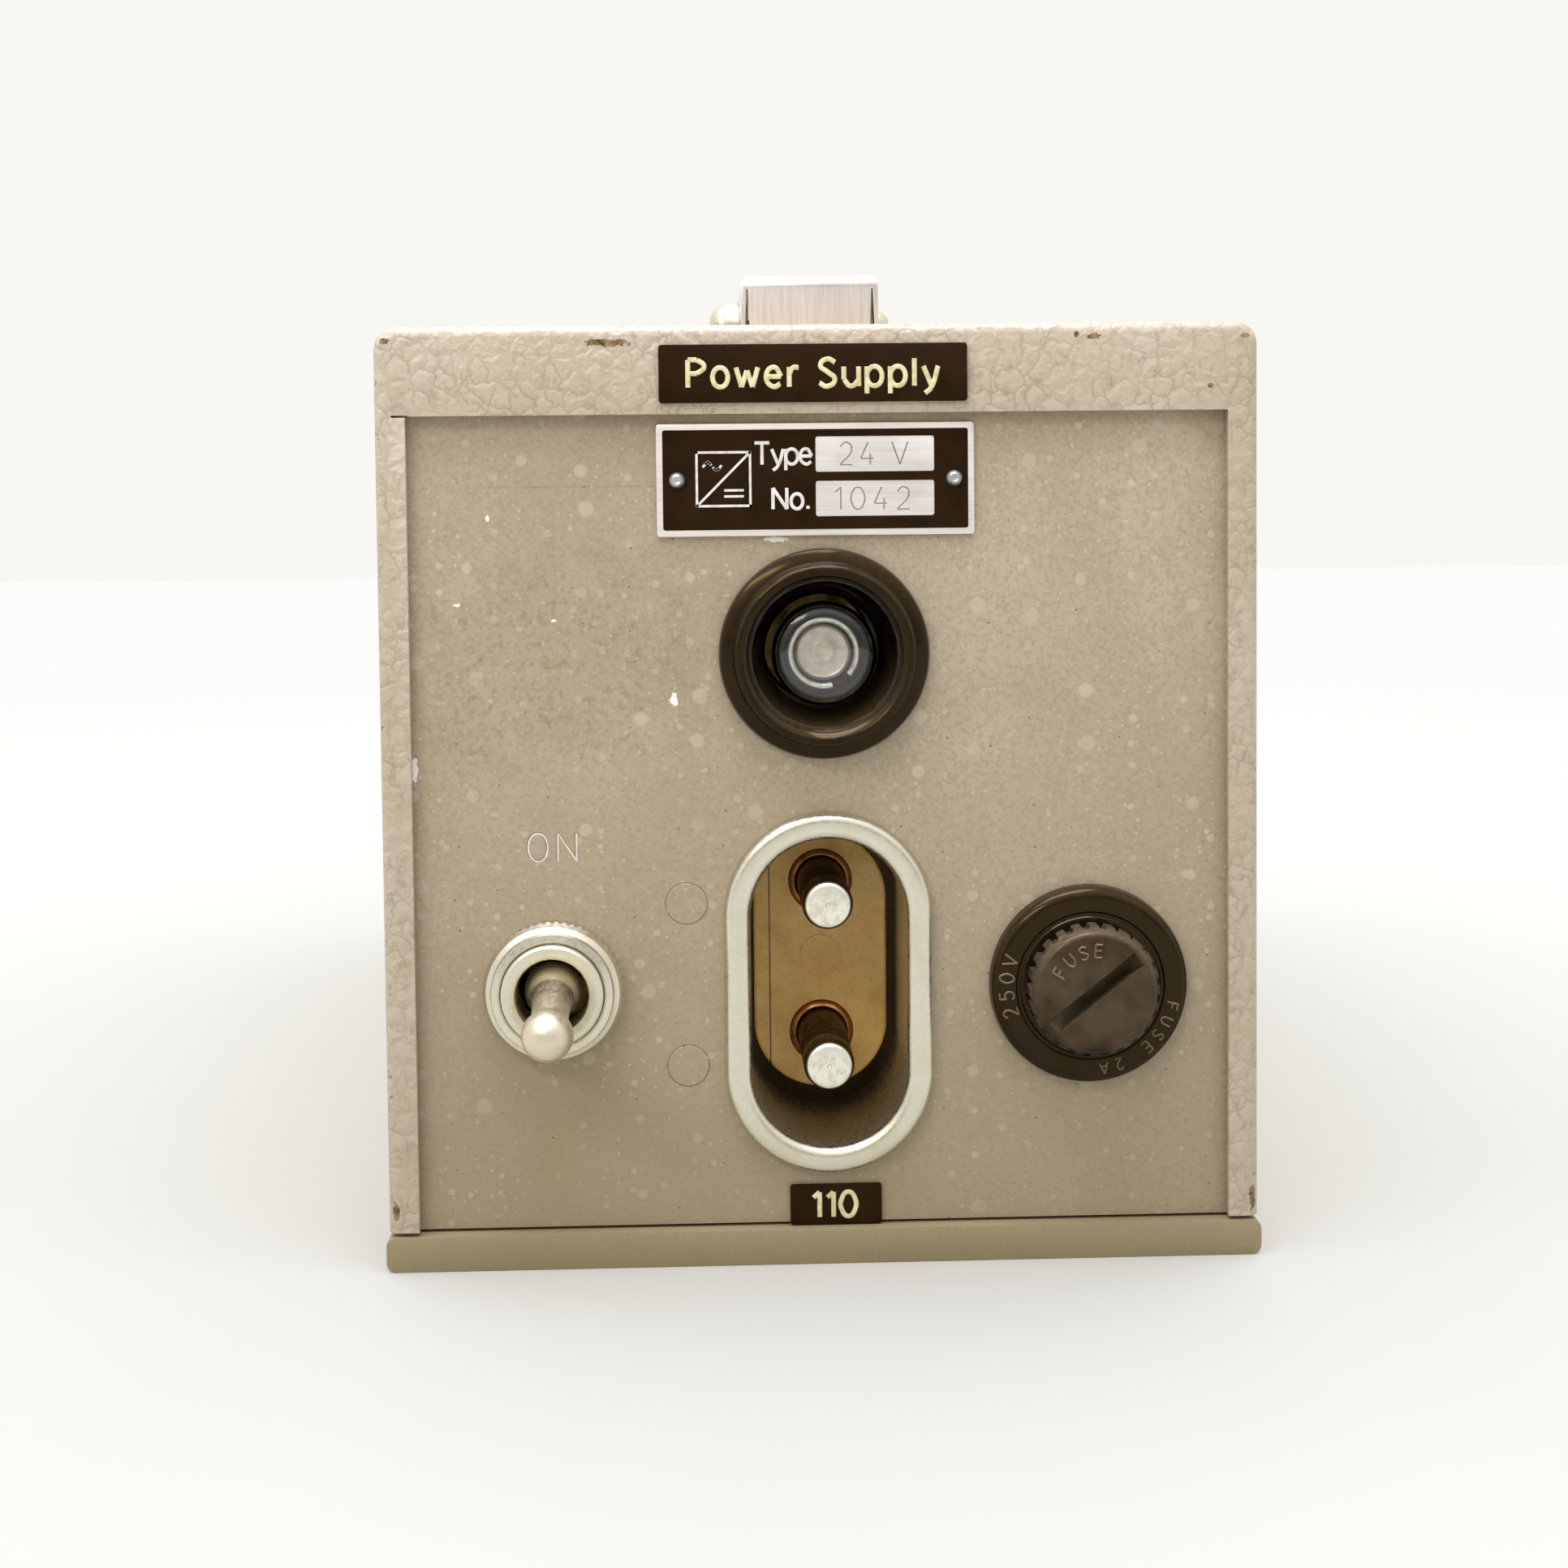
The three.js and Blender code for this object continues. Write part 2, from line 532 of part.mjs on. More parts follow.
// The spring-steel plate that the lever's tail rocks, on a round pivot bead.
function rockingContact() {
  const [x, z] = SWITCH;
  const y = ROCKER_Y;
  const plate = block([x - 4, x + 4], [y - 0.6, y + 0.6], [z - 8.6, z + 8.6]);
  const bead = turnedX([[0, x - 6.6], [1.5, x - 6.6], [1.5, x + 6.6], [0, x + 6.6]], [y, z], 12);
  const angle = THREE.MathUtils.degToRad(ROCKER_TILT);
  return join(plate, bead).translate(0, -y, -z).rotateX(angle).translate(0, y, z);
}

function switchBackNut() {
  const y = PANEL_BACK + REST_GAP;
  const nut = turnedY([[0, y], [8.6, y], [8.6, y + 2.6], [0, y + 2.6]], SWITCH, 6);
  return cut(nut, rodY(6 + CUT_GAP, y - 1, y + 4, SWITCH, 24));
}

// ---- strap handle --------------------------------------------------------------------------------------

const CAP_PIN = { z: HOOD.top + 2.1, inset: 11, radius: 0.9 };
const TAIL = { thickness: 3.6, length: 21.6 };
const BEND_GAP = 0.4; // on each side of a bend in the strap
const GRIP_BEND = STRAP.grip / 2 + BEND_GAP;
const CAP_BEND = GRIP_BEND + STRAP.link;
const STRAP_LOW = HOOD.top + 0.6;

// The tongues under each cap's cheeks, which pass through slots in the hood.
function capTabs(grow = 0) {
  const tabs = [];
  for (const end of [-1, 1]) {
    for (const side of [-1, 1]) {
      const outer = side * CAP.width / 2;
      const inner = outer - side * CAP.sheet;
      const [x0, x1] = [Math.min(outer, inner), Math.max(outer, inner)];
      const y = end * (LENGTH / 2 - CAP.setback - CAP.length / 2);
      const low = grow ? HOOD.top - 3 : HOOD.top - HOOD.sheet - 1;
      tabs.push(block([x0 - grow, x1 + grow], [y - 3 - grow, y + 3 + grow], [low, HOOD.top + 0.6]));
    }
  }
  return tabs;
}

// A stamped cover: roof, outer end and two cheeks, open towards the grip.
function handleCap(end) {
  const { width, length, height, setback, sheet } = CAP;
  const outer = LENGTH / 2 - setback;
  const span = [end * outer, end * (outer - length)].sort((a, b) => a - b);
  const hollow = [end * (outer - sheet), end * (outer - length - 5)].sort((a, b) => a - b);
  const bottom = HOOD.top + REST_GAP;
  const shell = alongY(arch(width, bottom, HOOD.top + height, 1.8), ...span, 5);
  const room = alongY(arch(width - 2 * sheet, bottom - 1, HOOD.top + height - sheet, 0.9), ...hollow, 5);
  const pinHole = turnedX([[0, -20], [CAP_PIN.radius + CUT_GAP, -20], [CAP_PIN.radius + CUT_GAP, 20], [0, 20]],
    [end * (outer - CAP_PIN.inset), CAP_PIN.z], 12);
  const tabs = capTabs().filter((_, i) => (i < 2) === (end < 0));
  return cut(join(shell, ...tabs), room, pinHole);
}

// A cross pin with a slotted cheese head at one cheek and a riveted dome at the other.
function capPin(end) {
  const half = CAP.width / 2 + REST_GAP;
  const r = CAP_PIN.radius;
  const profile = [[0, -half - 3.9], [1.6, -half - 3.7], [2.7, -half - 3], [3.2, -half - 2.2], [3.2, -half],
    [r, -half], [r, half], [2.05, half], [1.95, half + 1.1], [1.3, half + 1.9], [0, half + 2.2]];
  const y = end * (LENGTH / 2 - CAP.setback - CAP_PIN.inset);
  const head = turnedX(profile, [y, CAP_PIN.z], 16);
  const underHood = block([-40, 40], [y - 10, y + 10], [HOOD.top - 10, HOOD.top + 0.15]);
  return cut(head, underHood);
}

// The metal end of the strap, slotted so that it can slide on the cap's cross pin.
function strapTail(end) {
  const pinY = end * (LENGTH / 2 - CAP.setback - CAP_PIN.inset);
  const span = [end * (CAP_BEND + BEND_GAP), end * (CAP_BEND + TAIL.length)].sort((a, b) => a - b);
  const bar = block([-STRAP.width / 2, STRAP.width / 2], span,
    [CAP_PIN.z - TAIL.thickness / 2, CAP_PIN.z + TAIL.thickness / 2]);
  const slot = [pinY - end * 1.4, pinY + end * 5.9].sort((a, b) => a - b);
  return cut(bar, block([-20, 20], slot, [CAP_PIN.z - 1.1, CAP_PIN.z + 1.1]));
}

function strapLink(end) {
  const span = [end * (GRIP_BEND + BEND_GAP), end * (CAP_BEND - BEND_GAP)].sort((a, b) => a - b);
  return block([-STRAP.width / 2, STRAP.width / 2], span, [STRAP_LOW, STRAP_LOW + STRAP.thickness]);
}

function strapGrip() {
  return block([-STRAP.width / 2, STRAP.width / 2], [-STRAP.grip / 2, STRAP.grip / 2],
    [STRAP_LOW, STRAP_LOW + STRAP.thickness]);
}

// ---- works inside the case -----------------------------------------------------------------------------

const TRANSFORMER = { x: 10.5, y: 8, width: 62, depth: 34, height: 56, limb: 11 };
const CHOKE = { x: -21, y: 72, width: 40, depth: 22, height: 36, limb: 7 };

// A laminated core: a block with two windows for the coil.
function core({ x, y, width, depth, height, limb }) {
  const body = block([x - width / 2, x + width / 2], [y - depth / 2, y + depth / 2], [FLOOR, FLOOR + height]);
  const windowWidth = width / 2 - 2 * limb;
  const windows = [-1, 1].map((side) => {
    const middle = x + side * (limb + windowWidth / 2);
    return block([middle - windowWidth / 2, middle + windowWidth / 2], [y - depth, y + depth],
      [FLOOR + limb, FLOOR + height - limb]);
  });
  return cut(body, ...windows);
}

function winding({ x, y, width, depth, height, limb }) {
  const reach = width / 2 - limb - 1;
  const [low, high] = [FLOOR + limb + 0.6, FLOOR + height - limb - 0.6];
  const coil = block([x - reach, x + reach], [y - depth / 2 - 9, y + depth / 2 + 9], [low, high]);
  const middle = block([x - limb - 0.5, x + limb + 0.5], [y - depth / 2 - 0.5, y + depth / 2 + 0.5],
    [low - 5, high + 5]);
  return cut(coil, middle);
}

function rectifierStack() {
  const [x, z, fins, pitch] = [-31.5, 36, 7, 6];
  const y0 = -18;
  const rod = rodY(2, y0 - 6, y0 + fins * pitch + 2, [x, z], 8);
  const plates = Array.from({ length: fins }, (_, i) => block([x - 10, x + 10],
    [y0 + i * pitch, y0 + i * pitch + 1.2], [z - 10, z + 10]));
  const foot = block([x - 10, x + 10], [y0 - 4, y0 - 2.5], [FLOOR, z + 6]);
  const farFoot = block([x - 10, x + 10], [y0 + fins * pitch - 1, y0 + fins * pitch + 0.5], [FLOOR, z + 6]);
  return join(rod, foot, farFoot, ...plates);
}

const CAN = { centre: [21, 72], radius: 17, height: 62 };

// A double electrolytic in a drawn aluminium can.
function capacitorCan() {
  const [low, high, r] = [FLOOR + 1.6, FLOOR + 1.6 + CAN.height, CAN.radius];
  return turnedZ([[0, low], [r, low], [r, high - 1.5], [r - 1.5, high], [0, high]], CAN.centre, 28);
}

// A cup that stands on the base plate and grips the foot of the can.
function capacitorClamp() {
  const [x, y] = CAN.centre;
  const reach = CAN.radius + 3;
  const cup = block([x - reach, x + reach], [y - reach, y + reach], [FLOOR, FLOOR + 14]);
  return cut(cup, rodZ(CAN.radius + CUT_GAP, FLOOR + 1.55, FLOOR + 20, CAN.centre, 28));
}

// ---- rear sockets --------------------------------------------------------------------------------------

const SOCKETS = [
  { name: "output_socket", centre: [0.6, 62], barrel: 11, flange: 14, contacts: 6 },
];

function socketShell({ centre, barrel, flange }) {
  const y = -PANEL_FACE + REST_GAP;
  const profile = [[barrel - 1.5, y - 14], [barrel, y - 14], [barrel, y], [flange, y], [flange, y + 1.2],
    [barrel, y + 1.6], [barrel, y + 1.75], [barrel - 1.5, y + 1.75]];
  return turnedY([...profile, profile[0]], centre, 28);
}

function socketInsert({ centre, barrel, contacts }) {
  const [near, far] = [-PANEL_FACE - 13, -PANEL_FACE - 4];
  const body = rodY(barrel - 1.5 - CUT_GAP, near, far, centre, 28);
  const bores = Array.from({ length: contacts }, (_, i) => {
    const angle = (i + 0.5) * 2 * Math.PI / contacts;
    const place = [centre[0] + barrel * 0.45 * Math.cos(angle), centre[1] + barrel * 0.45 * Math.sin(angle)];
    return rodY(1.1, far - 6, far + 1, place, 10);
  });
  return cut(body, ...bores);
}

// ---- assembly ------------------------------------------------------------------------------------------

add("base_plate", basePlate(), PAINT);
add("hood", hood(), HAMMER);
add("front_panel", frontPanel(), PAINT);
add("rear_panel", rearPanel(), PAINT);
CASE_SCREWS.forEach((place, i) => add(`case_screw_${i + 1}`, caseScrew(place), STEEL));

add("hood_label", flatLabel(HOOD_LABEL, FRONT), LABEL);
add("rating_plate", ratingPlate(), PLATE);
add("voltage_label", flatLabel(VOLT_LABEL, PANEL_FACE), LABEL);
RATING.rivets.forEach((x, i) => add(`plate_rivet_${["left", "right"][i]}`, plateRivet(x), ALUMINIUM));
RIVETS.forEach((place, i) => add(`flush_rivet_${["upper", "lower"][i]}`, flushRivet(place), PAINT));

add("lamp_bezel", lampBezel(), BAKELITE);
add("lamp_bulb", lampBulb(), GLASS);
add("lamp_ring_electrode", ringElectrode(), NICKEL);
add("lamp_disc_electrode", discElectrode(), NICKEL);
add("lamp_cap", lampCap(), BRASS);
add("lamp_socket", lampSocket(), CERAMIC);

add("inlet_collar", inletCollar(), NICKEL);
add("inlet_plate", inletPlate(), HARD_PAPER);
add("inlet_housing", inletHousing(), BAKELITE);
PIN_CENTRES.forEach((centre, i) => add(`inlet_pin_${["upper", "lower"][i]}`, inletPin(centre), BRASS));
add("inlet_bracket", inletBracket(), STEEL);

add("fuse_holder_body", fuseHolderBody(), BAKELITE);
add("fuse_cap", fuseCap(), BAKELITE);
add("fuse_glass", fuseGlass(), GLASS);
add("fuse_end_front", fuseEnd(true), NICKEL);
add("fuse_end_rear", fuseEnd(false), NICKEL);
add("fuse_back_nut", fuseBackNut(), BRASS);
add("fuse_contact", fuseContact(), BRASS);

add("switch_ring_nut", ringNut(), NICKEL);
add("switch_bush", switchBush(), NICKEL);
add("switch_lever", switchLever(), NICKEL);
add("switch_body", switchBody(), BAKELITE);
add("switch_back_nut", switchBackNut(), NICKEL);
add("switch_contact", rockingContact(), BRASS);
TERMINALS.forEach((dz, i) => add(`switch_terminal_${["upper", "lower"][i]}`, switchTerminal(dz), BRASS));

for (const [name, end] of [["front", -1], ["rear", 1]]) {
  add(`handle_cap_${name}`, handleCap(end), NICKEL);
  add(`cap_pin_${name}`, capPin(end), NICKEL);
  add(`strap_tail_${name}`, strapTail(end), STEEL);
  add(`strap_link_${name}`, strapLink(end), STRAP_COVER);
}
add("strap_grip", strapGrip(), STRAP_COVER);

add("transformer_core", core(TRANSFORMER), IRON);
add("transformer_winding", winding(TRANSFORMER), COPPER);
add("choke_core", core(CHOKE), IRON);
add("choke_winding", winding(CHOKE), COPPER);
add("rectifier_stack", rectifierStack(), ALUMINIUM);
add("capacitor_can", capacitorCan(), ALUMINIUM);
add("capacitor_clamp", capacitorClamp(), STEEL);

for (const socket of SOCKETS) {
  add(`${socket.name}_shell`, socketShell(socket), NICKEL);
  add(`${socket.name}_insert`, socketInsert(socket), BAKELITE);
}

export default unit;
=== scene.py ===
import json
import math

import bpy
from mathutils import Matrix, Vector

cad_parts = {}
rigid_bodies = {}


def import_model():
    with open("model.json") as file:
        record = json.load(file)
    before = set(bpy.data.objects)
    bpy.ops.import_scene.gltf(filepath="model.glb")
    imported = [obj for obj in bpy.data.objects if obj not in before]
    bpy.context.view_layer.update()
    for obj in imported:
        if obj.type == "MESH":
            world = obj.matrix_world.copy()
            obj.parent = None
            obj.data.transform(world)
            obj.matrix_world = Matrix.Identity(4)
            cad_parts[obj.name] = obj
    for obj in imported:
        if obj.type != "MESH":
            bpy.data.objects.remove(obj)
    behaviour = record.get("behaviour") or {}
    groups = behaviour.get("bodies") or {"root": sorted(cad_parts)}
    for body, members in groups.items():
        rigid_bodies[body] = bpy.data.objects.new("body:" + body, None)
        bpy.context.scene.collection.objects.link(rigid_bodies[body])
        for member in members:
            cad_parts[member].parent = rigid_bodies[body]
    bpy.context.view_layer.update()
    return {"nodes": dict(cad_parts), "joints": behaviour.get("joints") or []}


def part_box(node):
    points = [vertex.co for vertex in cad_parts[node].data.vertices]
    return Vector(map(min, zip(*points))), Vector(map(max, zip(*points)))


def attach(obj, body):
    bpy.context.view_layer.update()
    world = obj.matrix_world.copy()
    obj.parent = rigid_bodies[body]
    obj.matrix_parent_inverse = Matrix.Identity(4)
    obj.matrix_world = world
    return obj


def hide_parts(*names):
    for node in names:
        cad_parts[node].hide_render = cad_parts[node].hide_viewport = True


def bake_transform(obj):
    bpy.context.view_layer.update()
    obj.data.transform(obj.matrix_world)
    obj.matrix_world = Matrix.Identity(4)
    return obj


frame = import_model()

# Lengths in this script are in millimetres and are turned to metres where an object is made.
MM = 0.001


def box_of(node):
    low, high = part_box(node)
    return low / MM, high / MM


def middle(node):
    low, high = box_of(node)
    return (low + high) / 2


HOOD_LOW, HOOD_HIGH = box_of("hood")
FRONT = HOOD_LOW.y
PANEL_FACE = box_of("front_panel")[0].y
PANEL_BACK = PANEL_FACE + 2
SEAT = PANEL_FACE - 0.05  # where a fitting's flange rests
LAMP = middle("lamp_bezel")
INLET = middle("inlet_collar")
FUSE = middle("fuse_holder_body")
SWITCH = middle("switch_ring_nut")

# ---- shaping tools -------------------------------------------------------------------------------------


def object_mode():
    if bpy.context.object and bpy.context.object.mode != "OBJECT":
        bpy.ops.object.mode_set(mode="OBJECT")


def alone(piece):
    """Leaves only this piece selected, in object mode."""
    object_mode()
    bpy.ops.object.select_all(action="DESELECT")
    piece.select_set(True)
    bpy.context.view_layer.objects.active = piece
    return piece


def on_axis(place):
    """The foot of an axis that runs front to back through a place."""
    return place.x, 0, place.z


def settle(piece):
    """Moves the object's own place and turn into its mesh."""
    alone(piece)
    bpy.ops.object.transform_apply(location=True, rotation=True, scale=True)
    return piece


def added(name):
    piece = bpy.context.object
    piece.name = name
    piece.data.name = name
    return settle(piece)


def cube(name, low, high):
    object_mode()
    bpy.ops.object.select_all(action="DESELECT")
    low, high = Vector(low), Vector(high)
    bpy.ops.mesh.primitive_cube_add(size=1, location=(low + high) / 2 * MM, scale=(high - low) * MM)
    return added(name)


def select(piece, kind, test):
    """Enters edit mode with the vertices, edges or faces selected whose middle (and normal) pass the test."""
    alone(piece)
    mesh = piece.data
    bpy.context.tool_settings.mesh_select_mode = (kind == "VERT", kind == "EDGE", kind == "FACE")
    for group in (mesh.vertices, mesh.edges, mesh.polygons):
        group.foreach_set("select", [False] * len(group))
    if kind == "VERT":
        for vertex in mesh.vertices:
            vertex.select = test(vertex.co / MM)
    elif kind == "EDGE":
        for edge in mesh.edges:
            a, b = (mesh.vertices[i].co / MM for i in edge.vertices)
            if test((a + b) / 2, (b - a).normalized()):
                edge.select = True
                for i in edge.vertices:
                    mesh.vertices[i].select = True
    else:
        for face in mesh.polygons:
            if test(face.center / MM, face.normal):
                face.select = True
                for i in face.vertices:
                    mesh.vertices[i].select = True
    bpy.ops.object.mode_set(mode="EDIT")


def round_edges(piece, test, width, segments):
    select(piece, "EDGE", test)
    bpy.ops.mesh.bevel(offset=width * MM, segments=segments, affect="EDGES", profile=0.5)
    object_mode()


def delete_faces(piece, test):
    select(piece, "FACE", test)
    bpy.ops.mesh.delete(type="FACE")
    object_mode()


def split_faces(piece, test, point, normal):
    """Cuts the chosen faces along a plane."""
    select(piece, "FACE", test)
    bpy.ops.mesh.bisect(plane_co=Vector(point) * MM, plane_no=normal)
    object_mode()


def near(a, b):
    return abs(a - b) < 0.01


def modify(piece, kind, **settings):
    """Adds a modifier with its settings and applies it."""
    alone(piece)
    modifier = piece.modifiers.new(kind.lower(), kind)
    for key, value in settings.items():
        setattr(modifier, key, value)
    bpy.ops.object.modifier_apply(modifier=modifier.name)
    return piece


def soften(piece, width=0.2, segments=2, angle=40):
    return modify(piece, "BEVEL", width=width * MM, segments=segments, limit_method="ANGLE",
                  angle_limit=math.radians(angle), harden_normals=False)


def smooth(piece, angle=35):
    alone(piece)
    bpy.ops.object.shade_smooth_by_angle(angle=math.radians(angle))
    return piece


def cut_out(piece, *cutters):
    for cutter in cutters:
        modify(piece, "BOOLEAN", operation="DIFFERENCE", solver="EXACT", object=cutter, use_self=True)
        bpy.data.objects.remove(cutter, do_unlink=True)
    return piece


def tidy_mesh(piece):
    """Merges doubled corners and turns every face outwards."""
    select(piece, "VERT", lambda co: True)
    bpy.ops.mesh.remove_doubles(threshold=0.004 * MM)
    bpy.ops.mesh.normals_make_consistent(inside=False)
    object_mode()
    return piece


def turned(name, profile, centre, segments=96, axis="Y"):
    """A turned piece: its profile is drawn as (radius, distance) points and spun about the axis."""
    object_mode()
    bpy.ops.object.select_all(action="DESELECT")
    bpy.ops.mesh.primitive_plane_add(size=1 * MM)
    piece = added(name)
    select(piece, "VERT", lambda co: True)
    bpy.ops.mesh.merge(type="CENTER")
    first = profile[0]
    bpy.ops.transform.translate(value=(first[0] * MM, 0, first[1] * MM))
    for (r0, d0), (r1, d1) in zip(profile, profile[1:]):
        step = ((r1 - r0) * MM, 0, (d1 - d0) * MM)
        bpy.ops.mesh.extrude_region_move(TRANSFORM_OT_translate={"value": step})
    bpy.ops.mesh.select_all(action="SELECT")
    bpy.ops.mesh.spin(steps=segments, angle=2 * math.pi, center=(0, 0, 0), axis=(0, 0, 1))
    object_mode()
    tidy_mesh(piece)
    piece.rotation_euler = {"X": (0, math.pi / 2, 0), "Y": (-math.pi / 2, 0, 0), "Z": (0, 0, 0)}[axis]
    piece.location = Vector(centre) * MM
    return settle(piece)


def arc(centre, radius, start, end, steps):
    """Points on an arc in (radius, distance), angles in degrees from the radial direction."""
    angles = [math.radians(start + (end - start) * i / steps) for i in range(steps + 1)]
    return [(centre[0] + radius * math.cos(a), centre[1] + radius * math.sin(a)) for a in angles]


def stretch(piece, centre_z, half):
    """Pulls the upper half up and the lower half down, so a round piece becomes a stadium."""
    for up in (True, False):
        select(piece, "VERT", lambda co: (co.z > centre_z) == up)
        bpy.ops.transform.translate(value=(0, 0, (half if up else -half) * MM))
    object_mode()
    return piece


def rod(name, radius, near, far, centre, segments=48):
    """A plain cylinder along Y, used as a cutter."""
    profile = [(0, near), (radius, near), (radius, far), (0, far)]
    return turned(name, profile, (centre[0], 0, centre[1]), segments)


# The engraved alphabet, drawn as strokes on a grid where capitals are 7 high. Strokes are parted by |, a
# closed one starts with @, and a point followed by o lies on a smooth bend. The first number is the width.
ALPHABET = {
    "A": (5, "0,0 2.5,7 5,0|0.9,2.2 4.1,2.2"),
    "E": (3.8, "3.8,0 0,0 0,7 3.8,7|0,3.7 3.3,3.7"),
    "F": (3.8, "0,0 0,7 3.8,7|0,3.7 3.3,3.7"),
    "N": (4.6, "0,0 0,7 4.6,0 4.6,7"),
    "O": (4.8, "@0,3.5o 2.4,7o 4.8,3.5o 2.4,0o"),
    "P": (4.2, "0,0 0,7 2.3,7 4.2,5.3o 2.3,3.5 0,3.5"),
    "S": (4.2, "4,6.1 2.2,7o 0.3,5.4o 2.1,3.7o 4,1.7o 2,0o 0,0.9"),
    "T": (4.8, "0,7 4.8,7|2.4,7 2.4,0"),
    "U": (4.4, "0,7 0,2.2 2.2,0o 4.4,2.2 4.4,7"),
    "V": (5, "0,7 2.5,0 5,7"),
    "e": (3.8, "0.1,2.6 3.8,2.6|3.8,2.6 1.9,5o 0,2.5o 1.9,0o 3.6,0.8"),
    "l": (0.4, "0.2,0 0.2,7"),
    "o": (3.9, "@0,2.5o 1.95,5o 3.9,2.5o 1.95,0o"),
    "p": (3.9, "0,5 0,-1.9|@0,2.5o 1.95,5o 3.9,2.5o 1.95,0o"),
    "r": (2.4, "0,0 0,5|0,3.2 1.1,4.9o 2.4,4.8"),
    "u": (3.8, "0,5 0,1.8 1.8,0o 3.8,1.6|3.8,5 3.8,0"),
    "w": (5.6, "0,5 1.4,0 2.8,4.2 4.2,0 5.6,5"),
    "y": (3.8, "0,5 2,0.2|3.8,5 1.7,-0.9o 0.4,-1.9"),
    "0": (3.9, "@0,2.2o 0,4.8o 1.95,7o 3.9,4.8o 3.9,2.2o 1.95,0o"),
    "1": (1.9, "0,5.5 1.7,7 1.7,0"),
    "2": (3.9, "0.1,5.6 1.9,7o 3.7,5.3o 0,0|0,0 3.9,0"),
    "4": (4, "3,0 3,3.4|2.3,7 0,1.9 4,1.9"),
    "5": (3.8, "3.6,7 0.5,7 0.3,4 2,4.5o 3.8,2.3o 1.9,0o 0,0.8"),
    ".": (0.6, "0.3,0 0.3,1"),
}
CAPITAL = 7
WORD_GAP = 3.2


def stroke_runs(code):
    """The smooth runs of one stroke: it is parted at each sharp corner. Points are (x, z, is_smooth)."""
    points = []
    for mark in code.lstrip("@").split():
        x, z = mark.rstrip("o").split(",")
        points.append((float(x), float(z), mark.endswith("o")))
    if code.startswith("@"):
        return [points]
    runs, run = [], points[:1]
    for point in points[1:]:
        run.append(point)
        if not point[2]:
            runs.append(run)
            run = [point]
    return runs


def lettering(name, text, height, centre, face, weight, raised=0.06, spacing=2.0, turn=0.0):
    """Letters of round-nosed strokes lying on a face that looks to the front. centre is (x, z) in mm, turn is
    in degrees, clockwise."""
    unit = height / CAPITAL
    curve = bpy.data.curves.new(name, "CURVE")
    curve.dimensions = "3D"
    curve.bevel_depth = weight / 2 * MM
    curve.bevel_resolution = 2
    curve.resolution_u = 5
    curve.use_fill_caps = True
    widths = [WORD_GAP - spacing if letter == " " else ALPHABET[letter][0] for letter in text]
    left = -(sum(widths) + spacing * (len(text) - 1)) / 2
    for letter, width in zip(text, widths):
        codes = [] if letter == " " else ALPHABET[letter][1].split("|")
        for code in codes:
            for run in stroke_runs(code):
                spline = curve.splines.new("BEZIER")
                spline.bezier_points.add(len(run) - 1)
                spline.use_cyclic_u = code.startswith("@")
                for place, (x, z, is_smooth) in zip(spline.bezier_points, run):
                    place.co = ((left + x) * unit * MM, 0, (z - CAPITAL / 2) * unit * MM)
                    place.handle_left_type = place.handle_right_type = "AUTO" if is_smooth else "VECTOR"
        left += width + spacing
    words = bpy.data.objects.new(name, curve)
    bpy.context.scene.collection.objects.link(words)
    alone(words)
    bpy.ops.object.convert(target="MESH")
    words = bpy.context.object
    words.scale.y = raised * 2 / weight
    words.rotation_euler.y = math.radians(turn)
    words.location = Vector((centre[0], face, centre[1])) * MM
    return settle(words)


def joined(name, pieces):
    object_mode()
    bpy.ops.object.select_all(action="DESELECT")
    for piece in pieces:
        piece.select_set(True)
    bpy.context.view_layer.objects.active = pieces[0]
    if len(pieces) > 1:
        bpy.ops.object.join()
    piece = bpy.context.object
    piece.name = name
    piece.data.name = name
    return piece


def round_lettering(name, text, height, centre, radius, face, weight, start, step, raised=0.1):
    """Letters set round a centre, their feet towards it. start and step are degrees clockwise from the top."""
    letters = []
    for i, letter in enumerate(text):
        if letter != " ":
            angle = math.radians(start + i * step)
            place = (centre[0] + radius * math.sin(angle), centre[1] + radius * math.cos(angle))
            letters.append(lettering(name, letter, height, place, face, weight, raised,
                                     turn=start + i * step))
    return joined(name, letters)


# ---- materials -----------------------------------------------------------------------------------------


def linear(code):
    """An sRGB hex colour as linear RGBA."""
    values = [int(code[i:i + 2], 16) / 255 for i in (1, 3, 5)]
    return [v / 12.92 if v <= 0.04045 else ((v + 0.055) / 1.055) ** 2.4 for v in values] + [1.0]


def new_material(name):
    material = bpy.data.materials.new(name)
    material.use_nodes = True
    return material


def started(name):
    """A new material and the object coordinates on it."""
    material = new_material(name)
    return material, node(material, "ShaderNodeTexCoord").outputs["Object"]


def node(material, kind, inputs=None, **settings):
    """Adds one node with its settings. An input that is a socket is linked, any other is set."""
    made = material.node_tree.nodes.new(kind)
    for key, value in settings.items():
        setattr(made, key, value)
    for key, value in (inputs or {}).items():
        if isinstance(value, bpy.types.NodeSocket):
            material.node_tree.links.new(value, made.inputs[key])
        else:
            made.inputs[key].default_value = value
    return made


def shader(material):
    return material.node_tree.nodes["Principled BSDF"]


def surface(material, **inputs):
    """Sets or links the sockets of the material's main shader; names are written with underscores."""
    main = shader(material)
    for key, value in inputs.items():
        socket = main.inputs[key.replace("_", " ")]
        if isinstance(value, bpy.types.NodeSocket):
            material.node_tree.links.new(value, socket)
        else:
            socket.default_value = value


def per_mm(size):
    """The scale of a pattern on object coordinates, in metres, whose features are this many mm apart."""
    return 1000.0 / size


